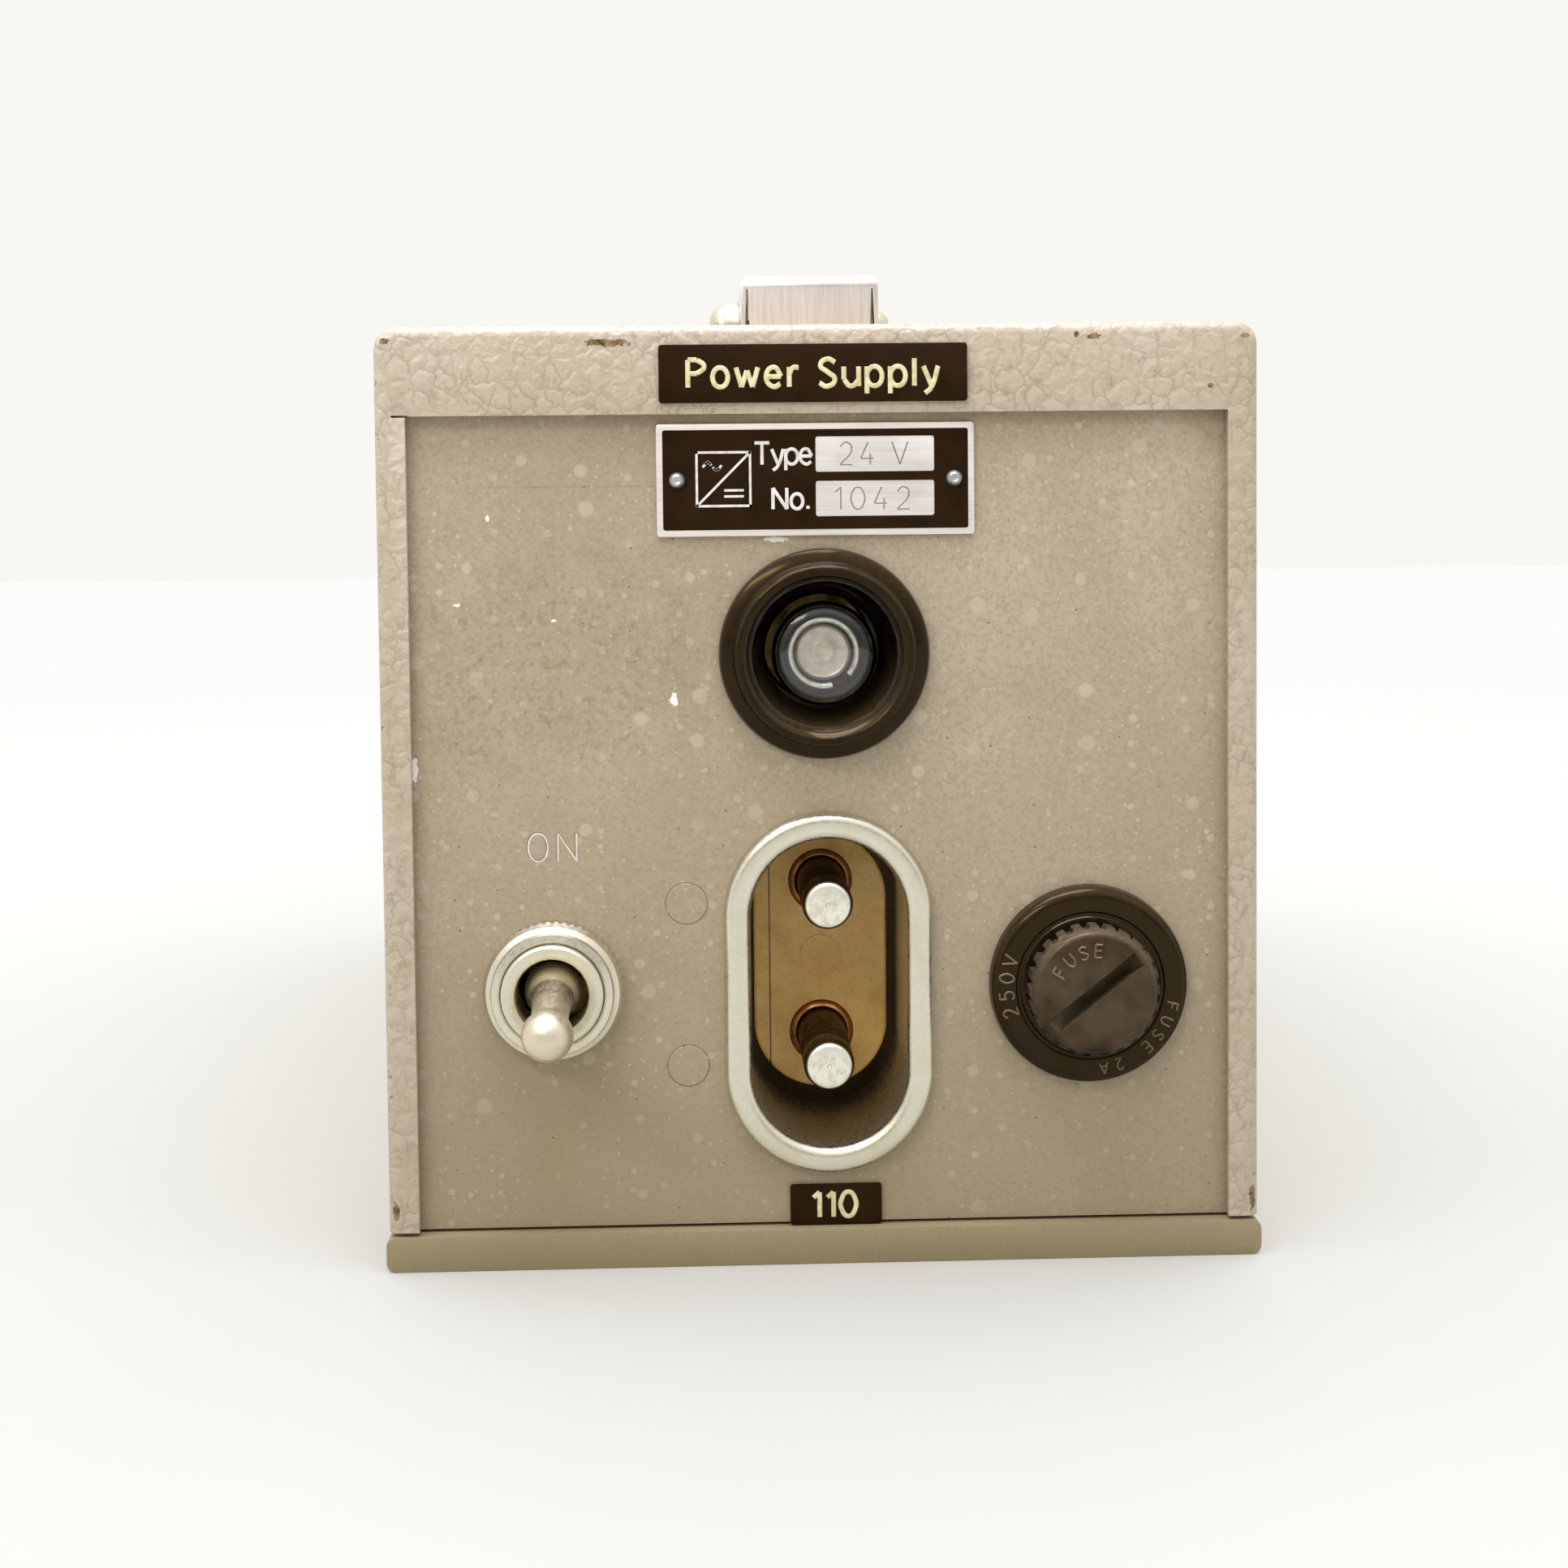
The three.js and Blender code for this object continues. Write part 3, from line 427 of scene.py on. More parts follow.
def ramp(material, value, stops):
    """A colour ramp between (position, hex colour) stops."""
    made = node(material, "ShaderNodeValToRGB", {"Fac": value})
    elements = made.color_ramp.elements
    while len(elements) < len(stops):
        elements.new(0.5)
    for element, (position, code) in zip(elements, stops):
        element.position = position
        element.color = linear(code)
    return made.outputs["Color"]


def remap(material, value, low, high, to_low=0.0, to_high=1.0):
    made = node(material, "ShaderNodeMapRange",
                {"Value": value, "From Min": low, "From Max": high, "To Min": to_low, "To Max": to_high},
                interpolation_type="SMOOTHSTEP")
    return made.outputs["Result"]


def math_node(material, operation, a, b=0.0):
    made = node(material, "ShaderNodeMath", {0: a, 1: b}, operation=operation)
    return made.outputs["Value"]


def mixed(material, factor, a, b):
    made = node(material, "ShaderNodeMix", data_type="RGBA")
    for key, value in ((0, factor), (6, a), (7, b)):
        if isinstance(value, bpy.types.NodeSocket):
            material.node_tree.links.new(value, made.inputs[key])
        else:
            made.inputs[key].default_value = linear(value) if isinstance(value, str) else value
    return made.outputs[2]


def noise(material, place, size, detail=3.0, rough=0.55, distortion=0.0):
    made = node(material, "ShaderNodeTexNoise", {"Vector": place, "Scale": per_mm(size), "Detail": detail,
                                                "Roughness": rough, "Distortion": distortion})
    return made.outputs["Fac"]


def bumped(material, height, depth, base=None):
    """A bump of the given depth in mm."""
    inputs = {"Height": height, "Strength": 1.0, "Distance": depth * MM}
    if base is not None:
        inputs["Normal"] = base
    return node(material, "ShaderNodeBump", inputs).outputs["Normal"]


def spots(material, flat, spacing, smallest, largest, share):
    """Round drops on the X-Z plane: each cell may hold one, of its own size. Sizes are radii in mm."""
    inputs = {"Vector": flat, "Scale": per_mm(spacing), "Randomness": 0.85}
    cells = node(material, "ShaderNodeTexVoronoi", inputs, feature="F1", voronoi_dimensions="2D")
    split = node(material, "ShaderNodeSeparateColor", {"Color": cells.outputs["Color"]})
    radius = remap(material, split.outputs["Red"], 1 - share, 1.0, smallest / spacing, largest / spacing)
    present = math_node(material, "GREATER_THAN", split.outputs["Red"], 1 - share)
    inside = remap(material, math_node(material, "DIVIDE", cells.outputs["Distance"], radius), 1.1, 0.7)
    return math_node(material, "MULTIPLY", inside, present)


def blot(material, place, centre, radii, ragged=0.5, soft=0.15, grain=0.5):
    """A ragged oval mark at (x, z), with its half width and half height, all in mm."""
    inputs = {"Vector": place, "Scale": (per_mm(radii[0]), 0, per_mm(radii[1])),
              "Location": (-centre[0] / radii[0], 0, -centre[1] / radii[1])}
    around = node(material, "ShaderNodeMapping", inputs).outputs["Vector"]
    away = node(material, "ShaderNodeVectorMath", {0: around}, operation="LENGTH").outputs["Value"]
    stray = remap(material, noise(material, place, grain, 4, 0.7), 0.25, 0.75, -ragged, ragged)
    return remap(material, math_node(material, "ADD", away, stray), 1.0 + soft, 1.0 - soft)


def together(material, masks):
    total = masks[0]
    for mask in masks[1:]:
        total = math_node(material, "MAXIMUM", total, mask)
    return total


def lacquer(name, tones, shade, grime):
    """Satin lacquer on sheet steel: a little uneven, dusty in its grain, and darker and yellower towards the
    foot.
    """
    material, place = started(name)
    cloud = noise(material, place, 9, 4)
    grain = noise(material, place, 0.5, 4, 0.7)
    colour = ramp(material, noise(material, place, 45, 3), list(zip((0.3, 0.5, 0.72), tones)))
    colour = mixed(material, remap(material, cloud, 0.35, 0.75, 0.0, 0.35), colour, shade)
    colour = mixed(material, remap(material, grain, 0.4, 0.7, 0.0, 0.55), colour, grime)
    where = node(material, "ShaderNodeSeparateXYZ", {"Vector": place}).outputs
    foot = remap(material, where["Z"], 85 * MM, 0.0, 0.0, 0.6)
    colour = mixed(material, foot, colour, "#8b7c5c")
    surface(material, Base_Color=colour, Roughness=remap(material, cloud, 0.3, 0.7, 0.42, 0.58),
            Normal=bumped(material, grain, 0.02))
    return material, place, colour, grain


def plain_lacquer():
    """Brush-laid lacquer, a shade darker and yellower than the panels'."""
    return lacquer("satin_lacquer_beige", ("#8f8362", "#978a69", "#9e9070"), "#877a58", "#766947")[0]


def panel_lacquer():
    """The same lacquer on the panels, spattered with paler drops while wet, then stained and scratched."""
    tones = ("#a6967d", "#ae9f87", "#b5a690")
    material, place, colour, grain = lacquer("satin_lacquer_spattered", tones, "#9c8a6d", "#8e7e62")
    upright = {"Vector": place, "Rotation": (math.pi / 2, 0, 0)}
    flat = node(material, "ShaderNodeMapping", upright).outputs["Vector"]
    sizes = [(6.5, 0.3, 1.0, 0.4), (3.1, 0.15, 0.5, 0.55), (1.5, 0.08, 0.24, 0.5)]
    drops = together(material, [spots(material, flat, *size) for size in sizes])
    strength = remap(material, noise(material, place, 14, 3), 0.3, 0.7, 0.2, 0.65)
    where = node(material, "ShaderNodeSeparateXYZ", {"Vector": place}).outputs
    high_up = remap(material, where["Z"], 0.0, 70 * MM, 0.45, 1.0)
    strength = math_node(material, "MULTIPLY", strength, high_up)
    colour = mixed(material, math_node(material, "MULTIPLY", drops, strength), colour, "#c2b59f")
    residue = together(material, [blot(material, place, (-30, 72), (17, 11), 0.55, 0.3, 5),
                                  blot(material, place, (-41, 62), (5, 4.5), 0.5, 0.3, 3),
                                  blot(material, place, (47, 98), (4, 2.4), 0.5, 0.4, 3)])
    crumbs = remap(material, noise(material, place, 1.3, 5, 0.75), 0.5, 0.68)
    residue = math_node(material, "MULTIPLY", residue, math_node(material, "ADD", crumbs, 0.25))
    at_front = math_node(material, "LESS_THAN", where["Y"], 0.0)
    residue = math_node(material, "MULTIPLY", residue, at_front)
    colour = mixed(material, math_node(material, "MULTIPLY", residue, 0.6), colour, "#85744f")
    scratch = blot(material, place, (-28, 91.5), (12, 0.08), 0.3, 0.4, 3)
    scratch = math_node(material, "MULTIPLY", scratch, at_front)
    colour = mixed(material, math_node(material, "MULTIPLY", scratch, 0.4), colour, "#7f6d54")
    pits = spots(material, flat, 5.2, 0.06, 0.14, 0.45)
    colour = mixed(material, math_node(material, "MULTIPLY", pits, 0.8), colour, "#4f4230")
    chips = [((-42.2, 77.9), (0.45, 0.2)), ((-17.2, 66.6), (0.5, 0.75)), ((-47.4, 58.7), (0.4, 1.6)),
             ((-5.1, 85.15), (1.3, 0.3)), ((-31, 76), (0.3, 0.16)), ((-38.5, 88), (0.22, 0.4))]
    bare = [blot(material, place, centre, radii, 0.45, 0.1, 0.4) for centre, radii in chips]
    bare = together(material, bare)
    bare = math_node(material, "MULTIPLY", bare, at_front)
    colour = mixed(material, bare, colour, "#efe9df")
    height = math_node(material, "ADD", grain, drops)
    height = math_node(material, "SUBTRACT", height, math_node(material, "MULTIPLY", bare, 2.0))
    surface(material, Base_Color=colour, Normal=bumped(material, height, 0.025))
    return material


def hammer_finish():
    """Hammer-finish stoving enamel: it flows into shallow cells 2 to 3 mm across, with thin veins."""
    material, place = started("hammer_enamel_grey_beige")
    wander = node(material, "ShaderNodeTexNoise", {"Vector": place, "Scale": per_mm(1.6), "Detail": 3.0})
    stray = {0: wander.outputs["Color"], "Scale": 2.4 * MM}
    pull = node(material, "ShaderNodeVectorMath", stray, operation="SCALE")
    moved = node(material, "ShaderNodeVectorMath", {0: place, 1: pull.outputs["Vector"]}, operation="ADD")
    cells = node(material, "ShaderNodeTexVoronoi", {"Vector": moved.outputs["Vector"], "Scale": per_mm(2.3)},
                 feature="DISTANCE_TO_EDGE")
    vein = remap(material, cells.outputs["Distance"], 0.0, 0.09)
    swell = remap(material, cells.outputs["Distance"], 0.0, 0.4)
    slanted = {"Vector": place, "Rotation": (0, 0.6, 0), "Scale": (1, 1, 0.6)}
    lean = node(material, "ShaderNodeMapping", slanted)
    wrinkle = noise(material, lean.outputs["Vector"], 1.1, 4, 0.6, 0.6)
    patchy = remap(material, noise(material, place, 7, 3), 0.35, 0.65, 0.15, 1.0)
    colour = ramp(material, noise(material, place, 22, 3), [(0.3, "#b4a58e"), (0.6, "#bcae99")])
    lines = math_node(material, "MULTIPLY", math_node(material, "SUBTRACT", 1.0, vein), patchy)
    colour = mixed(material, math_node(material, "MULTIPLY", lines, 0.4), colour, "#75654c")
    colour = mixed(material, remap(material, wrinkle, 0.5, 0.75, 0.0, 0.5), colour, "#8f7f67")
    chips = [((-24.3, 107.9), (2.4, 0.4)), ((31.9, 108.3), (0.8, 0.3)), ((29.9, 108.5), (0.3, 0.3)),
             ((-49.8, 108.3), (0.5, 0.35)), ((49.5, 108.2), (0.5, 0.3)), ((-50.3, 7.2), (0.4, 1.0)),
             ((50.4, 7), (0.35, 1.4)), ((45.5, 102.5), (0.3, 0.2))]
    where = node(material, "ShaderNodeSeparateXYZ", {"Vector": place}).outputs
    front_only = math_node(material, "LESS_THAN", where["Y"], (FRONT + 2.2) * MM)
    bare = together(material, [blot(material, place, centre, radii, 0.5, 0.1, 0.6)
                               for centre, radii in chips])
    bare = math_node(material, "MULTIPLY", bare, front_only)
    # Near the ends the side lips' outer edges get a broken dark brown line: partly rubbed wear, partly painted
    # shade at the corner. It joins the chips and takes their rust colours.
    sideways = math_node(material, "ABSOLUTE", where["X"])
    edge = remap(material, sideways, 50.0 * MM, 51.1 * MM)
    worn_and_shaded_edge = math_node(material, "MULTIPLY", edge,
                       remap(material, noise(material, place, 1.5, 5, 0.75), 0.63, 0.66))
    from_middle = math_node(material, "ABSOLUTE", where["Y"])
    near_ends = remap(material, from_middle, 111.2 * MM, 111.8 * MM)
    bare = math_node(material, "MAXIMUM", bare, math_node(material, "MULTIPLY", worn_and_shaded_edge, near_ends))
    rust_and_edge_shade = [(0.35, "#3a2c18"), (0.5, "#7d6237"), (0.7, "#9b8355")]
    brown = ramp(material, noise(material, place, 0.8, 4), rust_and_edge_shade)
    colour = mixed(material, bare, colour, brown)
    height = math_node(material, "ADD", swell, math_node(material, "MULTIPLY", wrinkle, 0.6))
    height = math_node(material, "SUBTRACT", height, math_node(material, "MULTIPLY", bare, 1.5))
    surface(material, Base_Color=colour, Roughness=0.34, Normal=bumped(material, height, 0.09))
    return material


def bakelite(name, deep, pale, top_light_tone, gloss):
    """Compression-moulded black phenolic: polished and browned by age. Faces that look up get a painted top
    light, a paler brown mottled by noise.
    """
    material = new_material(name)
    coordinates = node(material, "ShaderNodeTexCoord")
    place = coordinates.outputs["Object"]
    haze = noise(material, place, 4.5, 2, 0.5)
    facing = node(material, "ShaderNodeSeparateXYZ", {"Vector": coordinates.outputs["Normal"]}).outputs
    # Painted top light: the upward faces are mixed towards the paler top colour, broken up by noise.
    upward = remap(material, facing["Z"], -0.3, 0.9)
    painted_top_light = math_node(material, "MULTIPLY", upward,
                        remap(material, noise(material, place, 0.9, 4, 0.7), 0.3, 0.6, 0.5, 1.0))
    colour = ramp(material, haze, [(0.36, deep), (0.62, pale)])
    colour = mixed(material, painted_top_light, colour, top_light_tone)
    rough = remap(material, haze, 0.3, 0.75, gloss, gloss + 0.16)
    surface(material, Base_Color=colour, Roughness=rough, IOR=1.5,
            Specular_IOR_Level=0.4, Specular_Tint=linear("#e0bd86"),
            Normal=bumped(material, noise(material, place, 0.5, 3), 0.003))
    return material


def nickel(name, tone="#cbc5b4", stain="#8c7a52", rough=0.24):
    """Bright nickel plating, yellowed and speckled by age."""
    material, place = started(name)
    cloud = noise(material, place, 5, 4, 0.6)
    specks = noise(material, place, 0.55, 5, 0.75)
    colour = mixed(material, remap(material, cloud, 0.4, 0.75, 0.0, 0.45), tone, "#cdc3a2")
    colour = mixed(material, remap(material, specks, 0.66, 0.78, 0.0, 0.6), colour, stain)
    varied = remap(material, specks, 0.35, 0.75, rough, rough + 0.2)
    surface(material, Base_Color=colour, Metallic=1.0, Roughness=varied,
            Normal=bumped(material, specks, 0.008))
    return material


def hard_paper():
    """Phenolic hard paper, cut from brown board, with fibre specks. Its colour is a paler ochre than the
    board: painted light that makes up for the shade inside the collar.
    """
    material, place = started("hard_paper_brown")
    cloud = noise(material, place, 6, 4, 0.6)
    fibre = noise(material, place, 0.6, 5, 0.7)
    colour = ramp(material, cloud, [(0.3, "#e0b060"), (0.55, "#f2c778"), (0.75, "#fad690")])
    colour = mixed(material, remap(material, fibre, 0.5, 0.75, 0.0, 0.45), colour, "#a87f45")
    pits = spots(material, place, 2.6, 0.05, 0.16, 0.45)
    colour = mixed(material, pits, colour, "#3d2811")
    surface(material, Base_Color=colour, Roughness=0.5, Normal=bumped(material, fibre, 0.015))
    return material


def brushed(name, tone, shade, rough, along="Z", spacing=0.12):
    """Metal brushed in one direction: fine scratches drawn coarse enough to show."""
    material, place = started(name)
    long_way = {"X": (0.04, 1, 1), "Y": (1, 0.04, 1), "Z": (1, 1, 0.04)}[along]
    drawn = node(material, "ShaderNodeMapping", {"Vector": place, "Scale": long_way})
    lines = noise(material, drawn.outputs["Vector"], spacing * 3, 4, 0.7)
    cloud = noise(material, place, 6, 3)
    colour = mixed(material, remap(material, lines, 0.35, 0.7, 0.0, 0.6), tone, shade)
    varied = remap(material, cloud, 0.3, 0.7, rough, rough + 0.14)
    surface(material, Base_Color=colour, Metallic=1.0, Roughness=varied,
            Normal=bumped(material, lines, 0.012))
    return material


def label_enamel():
    """Thin black enamel on a pressed label, dusty and slightly worn through."""
    material, place = started("label_enamel_black")
    grain = noise(material, place, 0.28, 5, 0.75)
    cloud = noise(material, place, 4, 3)
    colour = ramp(material, cloud, [(0.3, "#1f1308"), (0.7, "#2a1b0d")])
    colour = mixed(material, remap(material, grain, 0.6, 0.8, 0.0, 0.6), colour, "#66523a")
    surface(material, Base_Color=colour, Roughness=0.6, Specular_IOR_Level=0.12,
            Specular_Tint=linear("#d8b98c"), Normal=bumped(material, grain, 0.02))
    return material


def letter_enamel(name="letter_enamel_cream", tone="#ddd6a8", shade="#c2b988"):
    """Cream enamel filled into the lettering, uneven and a little yellowed."""
    material, place = started(name)
    colour = mixed(material, remap(material, noise(material, place, 0.9, 4), 0.35, 0.7), tone, shade)
    grain = noise(material, place, 0.2, 3)
    surface(material, Base_Color=colour, Roughness=0.55, Normal=bumped(material, grain, 0.01))
    return material


def lamp_glass():
    """Clear soda glass of a small glow lamp, with faint streaks from blowing."""
    material, place = started("clear_soda_glass")
    surface(material, Base_Color=linear("#f4f7f6"), Roughness=0.02, IOR=1.5, Transmission_Weight=1.0,
            Normal=bumped(material, noise(material, place, 4, 2), 0.05))
    return material


def plain_metal(name, tone, shade, rough, size=2.0):
    """Turned or pressed metal with light tarnish."""
    material, place = started(name)
    cloud = noise(material, place, size, 5, 0.65)
    colour = mixed(material, remap(material, cloud, 0.4, 0.7), tone, shade)
    varied = remap(material, cloud, 0.3, 0.7, rough, rough + 0.2)
    surface(material, Base_Color=colour, Metallic=1.0, Roughness=varied,
            Normal=bumped(material, noise(material, place, 0.3, 3), 0.006))
    return material


def dull(name, tone, shade, rough, size=2.0, depth=0.02):
    """A non-metal with mottled colour: varnish, ceramic, moulded cover."""
    material, place = started(name)
    cloud = noise(material, place, size, 4, 0.6)
    colour = mixed(material, remap(material, cloud, 0.35, 0.7), tone, shade)
    surface(material, Base_Color=colour, Roughness=rough, Normal=bumped(material, cloud, depth))
    return material


PAINT = plain_lacquer()
SPATTERED = panel_lacquer()
HAMMER = hammer_finish()
# The fourth colour of each moulding is its painted top light on upward faces.
BAKELITE = bakelite("black_phenolic_moulding", "#080604", "#15100a", "#33291a", 0.06)
# The fuse cap's moulding is a paler brown than the holder's: partly wear, partly a painted sheen standing for
# its reflections.
WORN_SHEEN_BAKELITE = bakelite("worn_phenolic_painted_sheen", "#1e1711", "#43382d", "#5c5040", 0.16)
RAISED_BAKELITE = bakelite("rubbed_phenolic_lettering", "#5a4c3a", "#6f6049", "#8a7a60", 0.3)
NICKEL = nickel("nickel_plate_aged", "#ddd8c6", "#9c8b63", 0.26)
LEVER_NICKEL = nickel("nickel_plate_handled", "#e0d6be", "#a8946a", 0.34)
HARD_PAPER = hard_paper()
PLATE = brushed("brushed_aluminium_plate", "#f2ece8", "#dcd4ce", 0.42, "X")
STAMPED = brushed("stamped_aluminium_shadow", "#a49a90", "#8d8378", 0.45, "X")
CAP_STEEL = brushed("brushed_nickel_cap", "#eee8e2", "#cdc4bb", 0.34, "Z")
LABEL = label_enamel()
CREAM = letter_enamel()
WHITE = letter_enamel("letter_enamel_white", "#e6e2dc", "#cbc5bd")
GLASS = lamp_glass()
BRASS = plain_metal("turned_brass", "#b99a5b", "#8a6a35", 0.3)
TIP = plain_metal("turned_pin_tip", "#f4f2e6", "#d8d4be", 0.3, 0.8)
TARNISH = plain_metal("tarnished_brass", "#5c4526", "#38291a", 0.4, 1.5)
COPPER = plain_metal("pressed_copper", "#c98d5f", "#9a6238", 0.3)
STEEL = plain_metal("zinc_plated_steel", "#a9a9a4", "#8c8b84", 0.35)
ALUMINIUM = plain_metal("drawn_aluminium", "#c2c3c4", "#a4a5a7", 0.32, 6)
IRON = dull("varnished_laminations", "#3b3631", "#241f1b", 0.55, 3)
WINDING = dull("varnished_winding_paper", "#7d5a32", "#5d3f1f", 0.5, 3)
CERAMIC = dull("glazed_steatite", "#e4ddcd", "#d2c8b3", 0.25, 3, 0.005)
STRAP = dull("moulded_strap_cover", "#1b1918", "#262220", 0.45, 0.6, 0.03)


def fit(piece, material, body="case", stands_for=()):
    """Gives a finished piece its finish and its body, and hides the CAD nodes that it stands for."""
    piece.data.materials.clear()
    piece.data.materials.append(material)
    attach(piece, body)
    if stands_for:
        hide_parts(*stands_for)
    return piece


# ---- case ----------------------------------------------------------------------------------------------

SHEET = 1.2
TOP_LIP, SIDE_LIP = 10.3, 3.6


def make_hood():
    """One folded sheet: bends first, then the windows, then its thickness."""
    low, high = HOOD_LOW, HOOD_HIGH
    hood = cube("hood_shell", low, high)
    round_edges(hood, lambda m, d: abs(d.y) > 0.9 and near(m.z, high.z), 2.6, 7)
    ends = (low.y, high.y)
    at_end = lambda m, d: any(near(m.y, y) for y in ends) and abs(d.y) < 0.1 and m.z > low.z + 0.01
    round_edges(hood, at_end, 1.3, 5)
    delete_faces(hood, lambda m, n: n.z < -0.9)
    inner_x, inner_z = high.x - SIDE_LIP, high.z - TOP_LIP
    flat_end = lambda m, n: abs(n.y) > 0.99
    split_faces(hood, flat_end, (inner_x, 0, 0), (1, 0, 0))
    split_faces(hood, flat_end, (-inner_x, 0, 0), (1, 0, 0))
    split_faces(hood, flat_end, (0, 0, inner_z), (0, 0, 1))
    delete_faces(hood, lambda m, n: flat_end(m, n) and abs(m.x) < inner_x and m.z < inner_z)
    modify(hood, "SOLIDIFY", thickness=SHEET * MM, offset=-1, use_even_offset=True)
    left, half = -inner_x, 0.12
    slit = cube("slit", (left - 1.6, FRONT - 1, inner_z - half), (left + 0.4, FRONT + 2, inner_z + half))
    cut_out(hood, slit)
    soften(hood, 0.22, 2, 50)
    smooth(hood, 40)
    return fit(hood, HAMMER, stands_for=["hood"])


def make_panel():
    low, high = box_of("front_panel")
    panel = cube("control_panel", (low.x, PANEL_FACE, low.z + 0.3), (high.x, PANEL_BACK, high.z))
    round_edges(panel, lambda m, d: abs(d.y) > 0.9 and m.z > 50, 1.4, 3)
    holes = [
        rod("hole", 9.3, FRONT - 5, PANEL_BACK + 5, (LAMP.x, LAMP.z)),
        stretch(rod("hole", 10.6, FRONT - 5, PANEL_BACK + 5, (INLET.x, INLET.z), 64), INLET.z, 9.05),
        rod("hole", 7.3, FRONT - 5, PANEL_BACK + 5, (FUSE.x, FUSE.z)),
        rod("hole", 6.3, FRONT - 5, PANEL_BACK + 5, (SWITCH.x, SWITCH.z)),
    ]
    for name in ("flush_rivet_upper", "flush_rivet_lower"):
        place = middle(name)
        holes.append(rod("pocket", 2.5, FRONT - 5, PANEL_FACE + 0.3, (place.x, place.z)))
    cut_out(panel, *holes)
    for letter, x in (("O", -1.7), ("N", 1.7)):
        cut_out(panel, lettering("mark", letter, 3.3, (SWITCH.x + x, SWITCH.z + 16.6), PANEL_FACE, 0.36,
                                 0.14))
    soften(panel, 0.08, 1, 50)
    fit(smooth(panel, 30), SPATTERED, stands_for=["front_panel"])
    # Inside each letter's groove lies a thin white line of bare metal, set to its lower right side as a
    # painted highlight of the groove's lit wall.
    bare = joined("on_mark_bare_metal_and_highlight", [
        lettering("mark", letter, 3.3, (SWITCH.x + x + 0.06, SWITCH.z + 16.56), PANEL_FACE + 0.07, 0.2, 0.05)
        for letter, x in (("O", -1.7), ("N", 1.7))])
    fit(bare, WHITE)
    for name in ("flush_rivet_upper", "flush_rivet_lower"):
        place = middle(name)
        y = PANEL_FACE
        profile = [(0, y - 0.015), (2.3, y - 0.015), (2.46, y + 0.08), (2.46, y + 0.28), (0, y + 0.28)]
        head = turned(name + "_head", profile, on_axis(place), 64)
        fit(smooth(head, 20), SPATTERED, stands_for=[name])


def make_base():
    low, high = box_of("base_plate")
    base = cube("base_slab", low, high)
    round_edges(base, lambda m, d: abs(d.y) > 0.9, 1.1, 5)
    sinks = []
    for i in range(1, 5):
        place = middle(f"case_screw_{i}")
        sinks.append(turned("sink", [(0, -1), (3.3, -1), (3.3, 0.3), (1.8, 1.9), (1.8, 8), (0, 8)],
                            (place.x, place.y, 0), 32, "Z"))
    cut_out(base, *sinks)
    soften(base, 0.28, 2, 50)
    smooth(base, 40)
    return fit(base, PAINT, stands_for=["base_plate"])


# ---- labels --------------------------------------------------------------------------------------------


def make_label(node_name, name, text, height, weight, spacing, aside=0.0):
    low, high = box_of(node_name)
    plate = cube(name, low, high)
    round_edges(plate, lambda m, d: abs(d.y) > 0.9, 0.35, 3)
    soften(plate, 0.12, 2, 50)
    fit(smooth(plate, 30), LABEL, stands_for=[node_name])
    centre = (low + high) / 2
    middle_of_text = (centre.x + aside, centre.z)
    words = lettering(name + "_lettering", text, height, middle_of_text, low.y, weight, 0.05, spacing)
    fit(words, CREAM)


def make_rating_plate():
    low, high = box_of("rating_plate")
    plate = cube("rating_plate_sheet", low, high)
    round_edges(plate, lambda m, d: abs(d.y) > 0.9, 0.4, 3)
    soften(plate, 0.15, 2, 50)
    fit(smooth(plate, 30), PLATE, stands_for=["rating_plate"])
    centre = (low + high) / 2
    at = lambda x, z: (centre.x + x, centre.z + z)
    border = 0.75
    field = cube("rating_plate_enamel", (low.x + border, low.y - 0.05, low.z + border),
                 (high.x - border, low.y + 0.1, high.z - border))
    windows = [(0.0, 13.8, 0.85, 4.95), (0.0, 13.8, -4.3, -0.2)]
    for x0, x1, z0, z1 in windows:
        cut_out(field, cube("window", (centre.x + x0, low.y - 1, centre.z + z0),
                            (centre.x + x1, low.y + 1, centre.z + z1)))
    round_edges(field, lambda m, d: abs(d.y) > 0.9, 0.25, 2)
    fit(field, LABEL)
    words = joined("rating_plate_lettering", [
        lettering("word", "Type", 2.5, at(-3.75, 3.0), low.y - 0.05, 0.4, 0.04, 0.75),
        lettering("word", "No.", 2.45, at(-2.9, -2.2), low.y - 0.05, 0.42, 0.04, 1.4),
    ])
    fit(words, WHITE)
    digits = joined("rating_plate_stamped_numbers", [
        lettering("number", "24 V", 2.6, at(6.8, 2.95), low.y, 0.17, 0.012, 2.6),
        lettering("number", "1042", 2.6, at(6.6, -2.25), low.y, 0.17, 0.012, 3.2),
    ])
    fit(digits, STAMPED)
    make_current_symbol(centre, low.y - 0.05)
    for side, name in (("left", "plate_rivet_left"), ("right", "plate_rivet_right")):
        place = middle(name)
        seat = low.y - 0.05
        profile = [(0, seat - 0.6)] + arc((0, seat - 0.05), 0.95, -60, 0, 6)
        profile += [(0.95, seat + 0.2), (0, seat + 0.2)]
        dome = turned(f"{name}_dome", profile, on_axis(place), 32)
        fit(smooth(dome, 60), ALUMINIUM, stands_for=[name])


